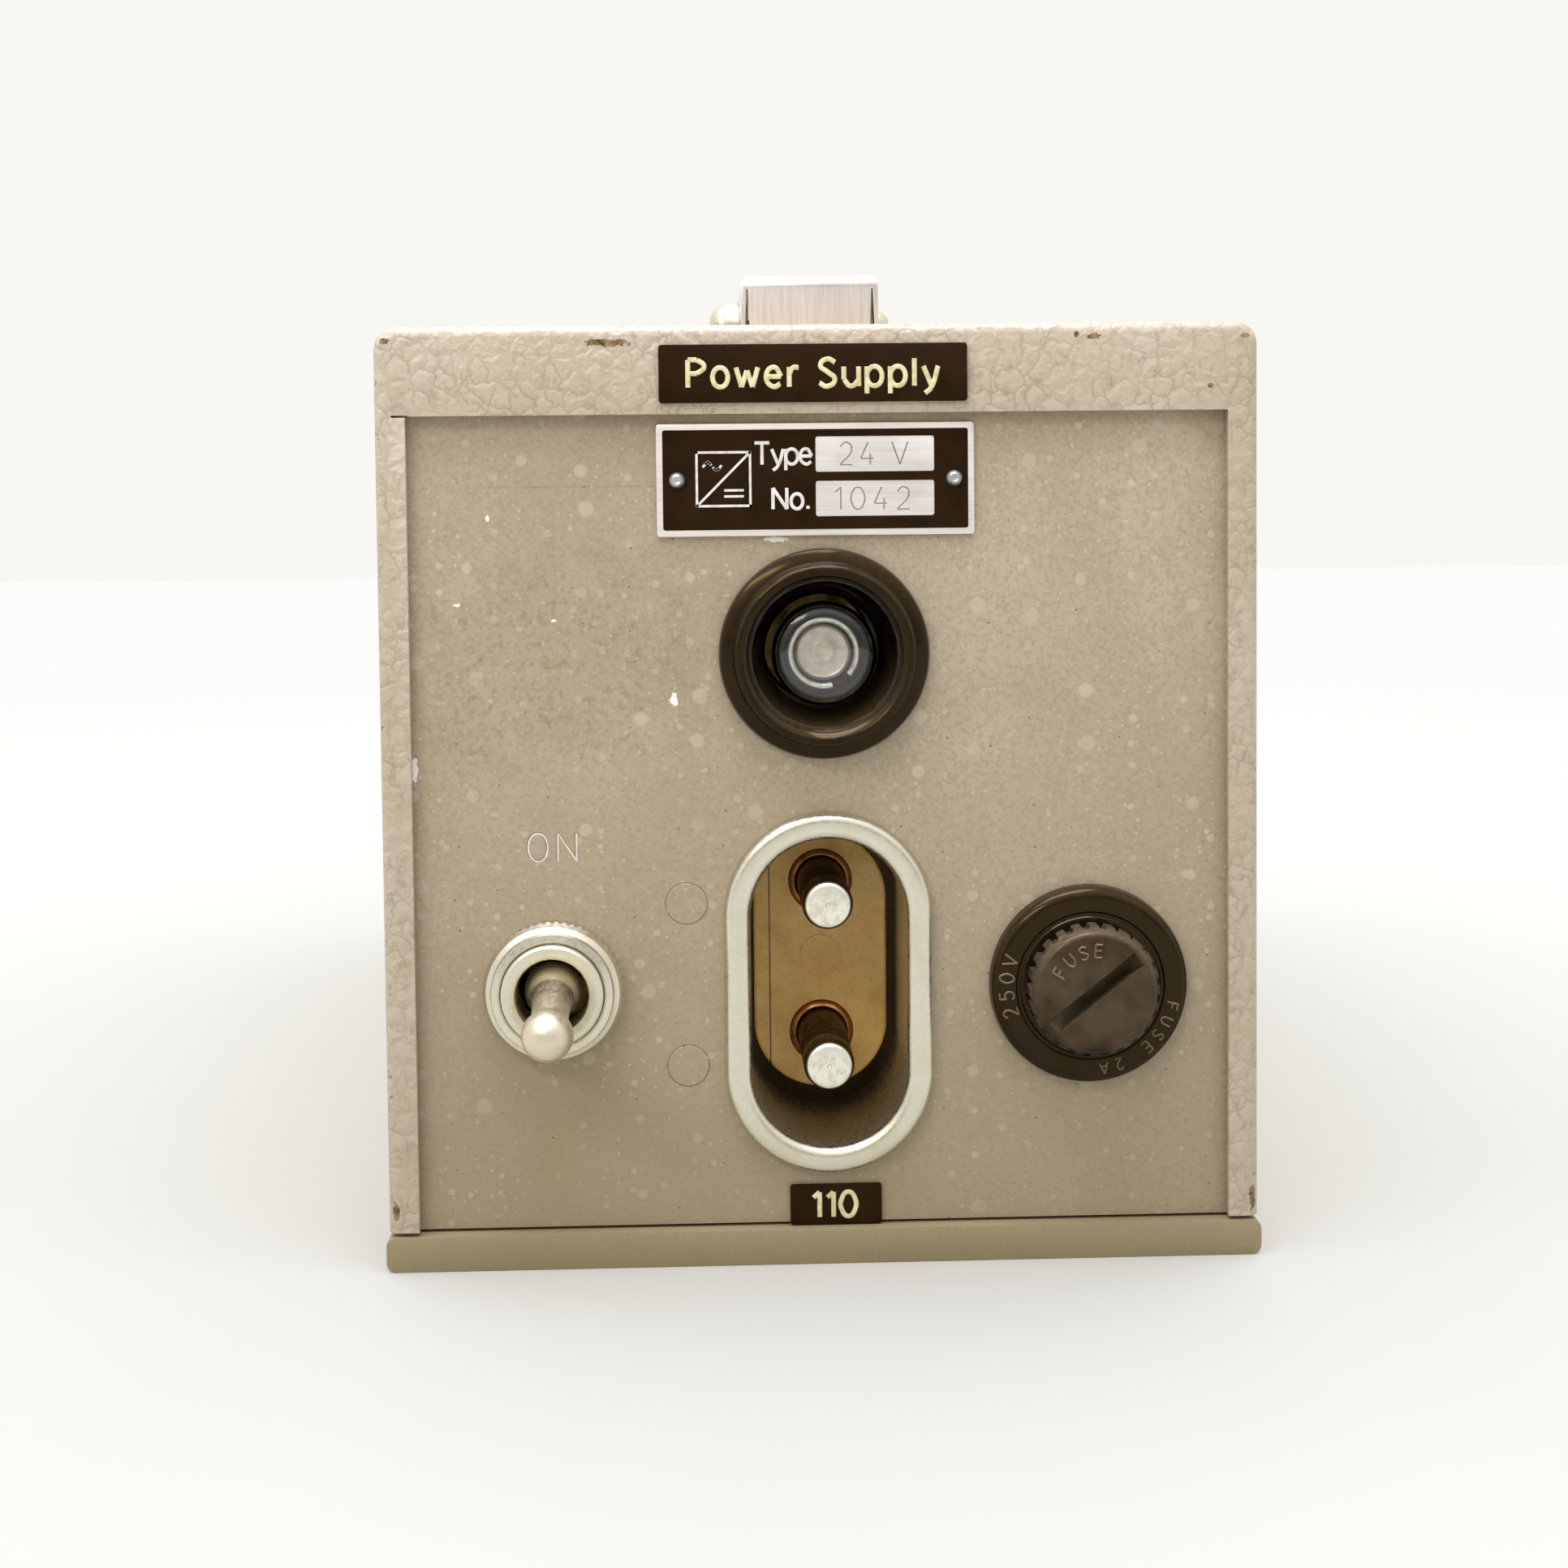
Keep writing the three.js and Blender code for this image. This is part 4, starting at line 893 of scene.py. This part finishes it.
def make_current_symbol(centre, face):
    """The plain sign of a rectifier: a square halved by a diagonal, a wave above it and two bars below."""
    x, z, half, line = centre.x - 10.7, centre.z + 0.1, 3.1, 0.28
    bars = []

    def bar(x0, z0, x1, z1):
        length = math.hypot(x1 - x0, z1 - z0)
        reach = (length + line) / 2
        piece = cube("bar", (-reach, face - 0.05, -line / 2), (reach, face, line / 2))
        piece.rotation_euler = (0, -math.atan2(z1 - z0, x1 - x0), 0)
        piece.location = Vector(((x0 + x1) / 2, 0, (z0 + z1) / 2)) * MM
        bars.append(settle(piece))

    for side in (-half, half):
        bar(x - half, z + side, x + half, z + side)
        bar(x + side, z - half, x + side, z + half)
    bar(x - half, z - half, x + half, z + half)
    for drop in (1.3, 2.0):
        bar(x + 0.2, z - drop, x + 2.2, z - drop)
    wave = [(x - 2.3 + 0.25 * i, z + 1.5 + 0.45 * math.sin(i * math.pi / 4)) for i in range(9)]
    for (x0, z0), (x1, z1) in zip(wave, wave[1:]):
        bar(x0, z0, x1, z1)
    fit(joined("rating_plate_symbol", bars), WHITE)


# ---- pilot lamp ----------------------------------------------------------------------------------------


def make_lamp():
    y = SEAT
    profile = [(12.25, y), (12.3, y - 0.9), (12.1, y - 1.4), (11.6, y - 1.75), (10.75, y - 1.95)]
    profile += [(10.6, y - 2.2), (10.5, y - 3.6)] + arc((9.85, y - 3.7), 0.62, 0, -120, 8)
    profile += [(9.0, y - 3.7), (8.75, y - 3.4), (8.5, y - 2.9), (8.3, y - 2.2), (7.6, y + 0.5),
                (7.0, y + 3.4),
                (6.8, y + 3.9), (6.8, y + 6), (7.4, y + 6.2), (7.4, y + 18.5), (9, y + 18.5), (9, y)]
    bezel = turned("lamp_bezel_ring", profile + [profile[0]], on_axis(LAMP), 128)
    fit(smooth(bezel, 28), BAKELITE, stands_for=["lamp_bezel"])

    r, nose = 6.1, y - 2.1  # the bulb's radius and the front of its glass
    outer = [(0, nose - 0.25), (1.5, nose - 0.22), (3.0, nose - 0.1), (4.0, nose + 0.08)]
    outer += arc((4.5, nose + 1.7), 1.6, -90, 0, 8) + [(r, nose + 16), (4.3, nose + 19.5), (4.3, nose + 22)]
    inner = [(3.8, nose + 22), (3.8, nose + 19.6), (r - 0.6, nose + 15.7)]
    inner += arc((4.45, nose + 1.85), 1.05, 0, -90, 6)
    inner += [(3.0, nose + 0.62), (1.5, nose + 0.5), (0, nose + 0.45)]
    bulb = turned("lamp_bulb_glass", outer + inner, on_axis(LAMP), 96)
    fit(smooth(bulb, 60), GLASS, stands_for=["lamp_bulb"])
    make_electrodes()


def make_electrodes():
    low = box_of("lamp_ring_electrode")[0].y
    object_mode()
    bpy.ops.object.select_all(action="DESELECT")
    bpy.ops.mesh.primitive_torus_add(major_radius=3.95 * MM, minor_radius=0.42 * MM, major_segments=96,
                                     minor_segments=16, rotation=(math.pi / 2, 0, 0),
                                     location=Vector((LAMP.x, low + 0.4, LAMP.z)) * MM)
    ring = added("lamp_ring_wire")

    def in_gap(m, n):
        angle = math.degrees(math.atan2(m.z - LAMP.z, m.x - LAMP.x)) % 360
        return 285 < angle < 318

    delete_faces(ring, in_gap)
    select(ring, "EDGE", lambda m, d: True)
    bpy.ops.mesh.select_all(action="DESELECT")
    bpy.ops.mesh.select_non_manifold()
    bpy.ops.mesh.edge_face_add()
    object_mode()
    tidy_mesh(ring)
    fit(smooth(ring, 50), TIP, stands_for=["lamp_ring_electrode"])
    y = box_of("lamp_disc_electrode")[0].y
    profile = [(0, y + 0.1), (0.8, y + 0.1), (0.95, y), (1.3, y), (1.45, y + 0.12), (2.7, y + 0.12), (2.9, y),
               (3.2, y + 0.15), (3.2, y + 0.8), (0.5, y + 0.8), (0.5, y + 17), (0, y + 17)]
    disc = turned("lamp_disc_plate", profile, on_axis(LAMP), 64)
    fit(smooth(disc, 40), nickel("electrode_nickel_pink", "#f6e6da", "#b98a63", 0.45),
        stands_for=["lamp_disc_electrode"])


# ---- mains inlet ---------------------------------------------------------------------------------------


def make_inlet():
    y = SEAT
    straight = 9.05
    inner, outer, wall_out = 9.4, 12.25, 10.3
    crest = (inner + outer) / 2
    profile = [(wall_out, y + 21), (wall_out, y), (outer, y), (outer, y - 0.5)]
    profile += arc((crest + 0.35, y - 0.6), 1.05, 0, -90, 7)[1:]
    profile += arc((crest - 0.45, y - 0.45), 1.2, -90, -180, 8) + [(inner, y + 0.6), (inner, y + 21)]
    collar = turned("inlet_collar_drawn", profile + [profile[0]], on_axis(INLET), 96)
    stretch(collar, INLET.z, straight)
    fit(smooth(collar, 40), NICKEL, stands_for=["inlet_collar"])

    low, high = box_of("inlet_plate")
    centre = (low + high) / 2
    r = (high.x - low.x) / 2
    profile = [(0, low.y), (r - 0.25, low.y), (r, low.y + 0.2), (r, high.y), (0, high.y)]
    plate = turned("inlet_plate_board", profile, (centre.x, 0, centre.z), 96)
    stretch(plate, centre.z, (high.z - low.z) / 2 - r)
    pins = [middle("inlet_pin_upper"), middle("inlet_pin_lower")]
    cut_out(plate, *[rod("hole", 4, low.y - 2, high.y + 2, (p.x, p.z), 64) for p in pins])
    ring = [(2.45, low.y + 0.14), (2.75, low.y + 0.14), (2.8, low.y - 1), (2.4, low.y - 1)]
    cut_out(plate, turned("ring", ring + [ring[0]], (centre.x, 0, centre.z + 0.6), 64))
    fit(smooth(plate, 30), HARD_PAPER, stands_for=["inlet_plate"])
    for name in ("inlet_pin_upper", "inlet_pin_lower"):
        make_pin(name, low.y)


def make_pin(name, board):
    """A turned pin: bright tip with its centre mark, tarnished shank, copper shoulder in the board's hole."""
    low, high = box_of(name)
    place = (middle(name).x, 0, middle(name).z)
    tip = low.y
    profile = [(0, tip + 0.45), (0.28, tip + 0.12), (0.32, tip), (2.2, tip - 0.01), (2.55, tip + 0.1),
               (2.72, tip + 0.3), (2.72, tip + 0.5), (0, tip + 0.5)]
    face = turned(name + "_tip", profile, place, 64)
    fit(smooth(face, 50), TIP)
    profile = [(0, tip + 0.52), (2.75, tip + 0.52), (2.95, tip + 0.9), (3, tip + 1.2), (3, tip + 4.2),
               (2.9, tip + 4.4), (2.9, tip + 4.7), (3, tip + 4.9), (3, board - 0.3), (2, board - 0.2),
               (2, high.y), (0, high.y)]
    shank = turned(name + "_shank", profile, place, 64)
    fit(smooth(shank, 40), TARNISH, stands_for=[name])
    profile = [(3.05, board - 0.4), (3.3, board - 0.6), (3.7, board - 0.5), (3.85, board - 0.2),
               (3.85, board + 2), (3.05, board + 2)]
    shoulder = turned(name + "_shoulder", profile + [profile[0]], place, 64)
    fit(smooth(shoulder, 50), COPPER)


# ---- fuse holder ---------------------------------------------------------------------------------------


def flute(piece, centre, radius, count, per, depth):
    """Presses every per-th column of a turned rim inwards, to make teeth."""
    step = 2 * math.pi / count

    def chosen(co):
        dx, dz = co.x - centre.x, co.z - centre.z
        if math.hypot(dx, dz) < radius - 0.05:
            return False
        turn = (math.atan2(dz, dx) / step) % 1.0
        return abs(turn - 0.5) < 0.5 / per

    select(piece, "VERT", chosen)
    scale = (radius - depth) / radius
    bpy.ops.transform.resize(value=(scale, 1, scale), center_override=centre * MM)
    object_mode()


def make_fuse_holder():
    y = SEAT
    flange = 11.7
    profile = [(4.6, y - 2.2), (8.1, y - 2.2), (8.3, y - 2.0), (8.6, y - 2.0), (8.8, y - 2.2)]
    profile += [(flange - 1.3, y - 2.15)] + arc((flange - 1.3, y - 0.95), 1.2, -90, -10, 8)
    profile += [(flange, y), (7, y), (7, y + 34), (1.5, y + 34), (1.5, y + 32), (4.6, y + 32)]
    body = turned("fuse_holder_moulding", profile + [profile[0]], on_axis(FUSE), 128)
    fit(smooth(body, 35), BAKELITE, stands_for=["fuse_holder_body"])
    centre = (FUSE.x, FUSE.z)
    marks = joined("fuse_holder_lettering", [
        round_lettering("mark", "250V", 1.7, centre, 9.9, y - 2.15, 0.26, -108, 12),
        round_lettering("mark", "FUSE 2A", 1.35, centre, 9.9, y - 2.15, 0.22, 105, 11),
    ])
    fit(marks, RAISED_BAKELITE)

    low, high = box_of("fuse_cap")
    nose, rim, r = low.y, y - 2.5, 7.6
    profile = [(0, nose), (3.5, nose + 0.03), (r - 1.4, nose + 0.12)]
    profile += arc((r - 1.2, nose + 0.95), 0.8, -90, -20, 6)
    profile += [(r - 0.25, nose + 1.2), (r, nose + 1.35), (r, rim), (4.2, rim), (4.2, high.y), (3, high.y),
                (3, high.y - 5.4), (0, high.y - 5.4)]
    knob = turned("fuse_cap_moulding", profile, on_axis(FUSE), 192)
    flute(knob, FUSE, r, 24, 2.7, 0.55)
    coin = turned("coin", [(0, -0.95), (8.6, -0.95), (8.6, 0.95), (0, 0.95)], (0, 0, 0), 96, "Z")
    coin.rotation_euler = (0, math.radians(-38), 0)
    coin.location = Vector((FUSE.x, nose - 5.7, FUSE.z)) * MM
    cut_out(knob, settle(coin))
    # The cap takes the paler moulding whose colour holds a painted sheen.
    fit(smooth(knob, 32), WORN_SHEEN_BAKELITE, "fuse_knob", stands_for=["fuse_cap"])
    word = round_lettering("fuse_cap_lettering", "FUSE", 1.5, centre, 4.9, nose + 0.06, 0.26, -60, 21, 0.14)
    fit(word, RAISED_BAKELITE, "fuse_knob")


# ---- toggle switch -------------------------------------------------------------------------------------


def make_switch():
    y = SEAT
    r = 8.2
    profile = [(6.05, y - 4.1), (6.3, y - 4.2), (7.0, y - 4.05), (7.15, y - 3.3), (7.3, y - 3.15),
               (7.75, y - 2.9), (r - 0.12, y - 2.3), (r, y - 2.1), (r, y - 0.5), (r - 0.2, y - 0.1),
               (r - 0.2, y), (6.05, y)]
    nut = turned("switch_ring_nut_knurled", profile + [profile[0]], on_axis(SWITCH), 216)
    flute(nut, SWITCH, r, 54, 2.2, 0.22)
    fit(smooth(nut, 30), NICKEL, stands_for=["switch_ring_nut"])

    bush_low, bush_high = box_of("switch_bush")
    n = bush_low.y
    profile = [(4.2, n + 0.5), (4.35, n + 0.15), (4.7, n), (5.6, n), (5.85, n + 0.2), (5.95, n + 0.6)]
    for i in range(5):
        profile += [(5.65, n + 0.95 + 0.7 * i), (5.95, n + 1.3 + 0.7 * i)]
    profile += [(6, n + 5), (6, bush_high.y), (5, bush_high.y), (5, n + 7.3), (4.2, n + 5.7)]
    bush = turned("switch_bush_threaded", profile + [profile[0]], on_axis(SWITCH), 96)
    fit(smooth(bush, 35), NICKEL, stands_for=["switch_bush"])
    make_lever()


def make_lever():
    """Built level and pointing to the front, then turned down about the middle of its ball."""
    joint = next(j for j in frame["joints"] if j["name"] == "switch_toggle")
    pivot = Vector(joint["pos_m"]) / MM
    droop, reach, tip = 13, 12, 2.95
    profile = [(0, -reach - tip)] + arc((0, -reach), tip, -84, 32, 14)
    profile += [(2.15, -reach + 2.35), (2.1, -reach + 2.9), (2.2, -4.4), (2.35, -3.1), (2.45, -2.55)]
    profile += arc((0, 0), 3.4, -42, 60, 12) + [(1.4, 3.4), (1.2, 9), (0, 9)]
    lever = turned("switch_lever_bat", profile, (0, 0, 0), 64)
    lever.rotation_euler = (math.radians(droop), 0, 0)
    lever.location = pivot * MM
    settle(lever)
    fit(smooth(lever, 35), LEVER_NICKEL, "lever", stands_for=["switch_lever"])


# ---- strap handle --------------------------------------------------------------------------------------


def make_handle_end(side, sign):
    low, high = box_of(f"handle_cap_{side}")
    floor = HOOD_HIGH.z + 0.05
    outer_end = low.y if sign < 0 else high.y
    mouth = high.y if sign < 0 else low.y
    cap = cube(f"handle_cap_{side}_pressing", (low.x, low.y, floor), (high.x, high.y, high.z))
    round_edges(cap, lambda m, d: near(m.z, high.z) and (abs(d.y) > 0.9 or near(m.y, outer_end)), 1.3, 5)
    delete_faces(cap, lambda m, n: n.z < -0.9 or (near(m.y, mouth) and abs(n.y) > 0.9))
    modify(cap, "SOLIDIFY", thickness=0.9 * MM, offset=-1, use_even_offset=True)
    for edge in (low.x, high.x):
        inward = 1 if edge < 0 else -1
        wedge = cube("wedge", (-0.34, outer_end - 2.0, floor - 1), (0.34, outer_end + 2.0, high.z - 1.7))
        select(wedge, "VERT", lambda co: co.z > floor)
        bpy.ops.transform.resize(value=(0.2, 1, 1), center_override=(0, 0, 0))
        object_mode()
        wedge.location.x = (edge + inward * 0.75) * MM
        cut_out(cap, settle(wedge))
    soften(cap, 0.12, 2, 50)
    fit(smooth(cap, 40), CAP_STEEL, stands_for=[f"handle_cap_{side}"])
    make_cap_pin(side, sign)


def make_cap_pin(side, sign):
    name = f"cap_pin_{side}"
    low, high = box_of(name)
    y = (low.y + high.y) / 2
    z = HOOD_HIGH.z + 2.1
    left, right = box_of("handle_cap_front")[0].x - 0.05, box_of("handle_cap_front")[1].x + 0.05
    profile = [(0, low.x), (1.3, low.x + 0.15), (2.2, low.x + 0.6), (2.75, low.x + 1.3), (2.9, low.x + 1.9)]
    profile += [(3.2, low.x + 2), (3.25, left - 0.3), (3.1, left), (0.9, left), (0.9, right)]
    profile += [(2.1, right), (2.1, right + 0.5), (1.8, right + 1.3), (1.1, right + 1.95), (0, right + 2.2)]
    pin = turned(name + "_riveted", profile, (0, y, z), 48, "X")
    slot = cube("slot", (low.x - 1, y - 3.6, -0.45), (low.x + 1.2, y + 3.6, 0.45))
    slot.location.z = z * MM
    cut_out(pin, settle(slot), cube("under", (-40, y - 10, z - 10), (40, y + 10, HOOD_HIGH.z + 0.12)))
    fit(smooth(pin, 35), NICKEL, stands_for=[name])


def strap_length(name, y0, y1):
    """A length of moulded strap with rounded edges, cut by rings of corners about 1.6 mm apart."""
    low, high = box_of("strap_grip")
    piece = cube(name, (low.x, y0, low.z), (high.x, y1, high.z))
    round_edges(piece, lambda m, d: abs(d.y) > 0.9, 1.1, 4)
    steps = int((y1 - y0) / 1.6)
    for i in range(1, steps):
        y = y0 + (y1 - y0) * i / steps
        select(piece, "FACE", lambda m, n: True)
        bpy.ops.mesh.bisect(plane_co=(0, y * MM, 0), plane_no=(0, 1, 0))
        object_mode()
    smooth(piece, 40)
    return piece


def make_strap():
    grip_bend, cap_bend, seam = 18.4, 68.4, 43.4
    for side, sign in (("front", -1), ("rear", 1)):
        span = sorted((sign * 0.0, sign * seam))
        inner = strap_length(f"strap_inner_{side}", *span)
        inner.data.materials.append(STRAP)
        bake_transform(inner)
        span = sorted((sign * seam, sign * (cap_bend + 1.6)))
        outer = strap_length(f"strap_outer_{side}", *span)
        outer.data.materials.append(STRAP)
        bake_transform(outer)
        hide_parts(f"strap_link_{side}")
        if side == "front":
            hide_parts("strap_grip")


make_hood()
make_panel()
make_base()
make_label("hood_label", "hood_label_plate", "Power Supply", 3.15, 0.58, 2.1)
make_label("voltage_label", "voltage_label_plate", "110", 2.95, 0.58, 2.0, -0.2)
make_rating_plate()
make_lamp()
make_inlet()
make_fuse_holder()
make_switch()
for side, sign in (("front", -1), ("rear", 1)):
    make_handle_end(side, sign)
make_strap()

CAD_FINISHES = {
    SPATTERED: ["rear_panel"],
    STEEL: ["case_screw_1", "case_screw_2", "case_screw_3", "case_screw_4", "inlet_bracket",
            "strap_tail_front",
            "strap_tail_rear", "capacitor_clamp"],
    BAKELITE: ["inlet_housing", "switch_body", "output_socket_insert"],
    BRASS: ["lamp_cap", "fuse_back_nut", "fuse_contact", "switch_contact", "switch_terminal_upper",
            "switch_terminal_lower"],
    NICKEL: ["fuse_end_front", "fuse_end_rear", "switch_back_nut", "output_socket_shell"],
    GLASS: ["fuse_glass"],
    CERAMIC: ["lamp_socket"],
    IRON: ["transformer_core", "choke_core"],
    WINDING: ["transformer_winding", "choke_winding"],
    ALUMINIUM: ["rectifier_stack", "capacitor_can"],
}
for material, names in CAD_FINISHES.items():
    for name in names:
        piece = frame["nodes"][name]
        piece.data.materials.clear()
        piece.data.materials.append(material)

# ---- stage, light and camera ---------------------------------------------------------------------------


def make_stage():
    """A pale matt floor that runs out to the backdrop."""
    object_mode()
    bpy.ops.object.select_all(action="DESELECT")
    bpy.ops.mesh.primitive_plane_add(size=6)
    floor = added("pale_floor")
    material, place = started("studio_paper")
    away = node(material, "ShaderNodeVectorMath", {0: place}, operation="LENGTH").outputs["Value"]
    colour = mixed(material, remap(material, away, 0.25, 0.9), "#f7f8f9", "#f0f1f3")
    mottle = remap(material, noise(material, place, 60, 3), 0.3, 0.7, 0.0, 0.2)
    colour = mixed(material, mottle, colour, "#f2f3f4")
    surface(material, Base_Color=colour, Roughness=1.0, Specular_IOR_Level=0.0)
    floor.data.materials.append(material)


def add_light(name, location, target, size, power, colour="#ffffff"):
    object_mode()
    bpy.ops.object.light_add(type="AREA", location=location)
    lamp = bpy.context.object
    lamp.name = name
    lamp.data.shape = "RECTANGLE"
    lamp.data.size, lamp.data.size_y = size
    lamp.data.energy = power
    lamp.data.color = linear(colour)[:3]
    direction = Vector(target) - Vector(location)
    lamp.rotation_euler = direction.to_track_quat("-Z", "Y").to_euler()
    return lamp


def make_world():
    """A pale studio: bright ceiling, a darker end of the room before the unit, and a plain backdrop."""
    world = bpy.data.worlds.new("studio")
    bpy.context.scene.world = world
    world.use_nodes = True
    way = node(world, "ShaderNodeTexCoord").outputs["Generated"]
    room = node(world, "ShaderNodeSeparateXYZ", {"Vector": way}).outputs
    level = math_node(world, "ABSOLUTE", room["Z"])
    dark_end = math_node(world, "MULTIPLY", remap(world, room["Y"], -0.4, -0.9),
                         remap(world, level, 0.5, 0.1))
    ceiling = remap(world, room["Z"], 0.3, 0.8, 1.0, 1.3)
    strength = math_node(world, "SUBTRACT", ceiling, math_node(world, "MULTIPLY", dark_end, 0.6))
    seen = node(world, "ShaderNodeLightPath").outputs["Is Camera Ray"]
    background = world.node_tree.nodes["Background"]
    background.inputs["Color"].default_value = linear("#f8f7f3")
    world.node_tree.links.new(math_node(world, "MAXIMUM", strength, seen), background.inputs["Strength"])


def light_pieces_only(lamps):
    """Keeps the lamps' pools of light off the floor, which takes the room's light alone."""
    lit = bpy.data.collections.new("lit_by_lamps")
    for piece in bpy.context.scene.objects:
        if piece.type == "MESH" and piece.name != "pale_floor":
            lit.objects.link(piece)
    for lamp in lamps:
        lamp.light_linking.receiver_collection = lit


def make_light():
    make_world()
    overhead = add_light("overhead_softbox", (-0.05, -0.16, 0.5), (0, -0.05, 0.1), (0.34, 0.3), 3.2,
                         "#e2e4ff")
    strip = add_light("window_strip", (-0.28, -0.5, 0.42), (0, -0.11, 0.06), (0.3, 0.08), 0.8, "#fffaf0")
    light_pieces_only((overhead, strip))


def make_camera():
    """Placed by eye height and distance from the hood's front; it looks a little to the right and down."""
    eye = Vector((-13.5, FRONT - 263, 88))
    aim = Vector((-4.3, FRONT, 75))
    camera = bpy.data.cameras.new("view")
    camera.lens = 52.2
    camera.sensor_width = 36
    camera.shift_y = -0.1
    camera.clip_start = 0.01
    seat = bpy.data.objects.new("view", camera)
    bpy.context.scene.collection.objects.link(seat)
    seat.location = eye * MM
    turn = (aim - eye).to_track_quat("-Z", "Y")
    seat.rotation_euler = turn.to_euler()
    seat.rotation_euler.rotate_axis("Z", math.radians(-0.6))
    bpy.context.scene.camera = seat
    bpy.context.scene.view_settings.view_transform = "Standard"


make_stage()
make_light()
make_camera()
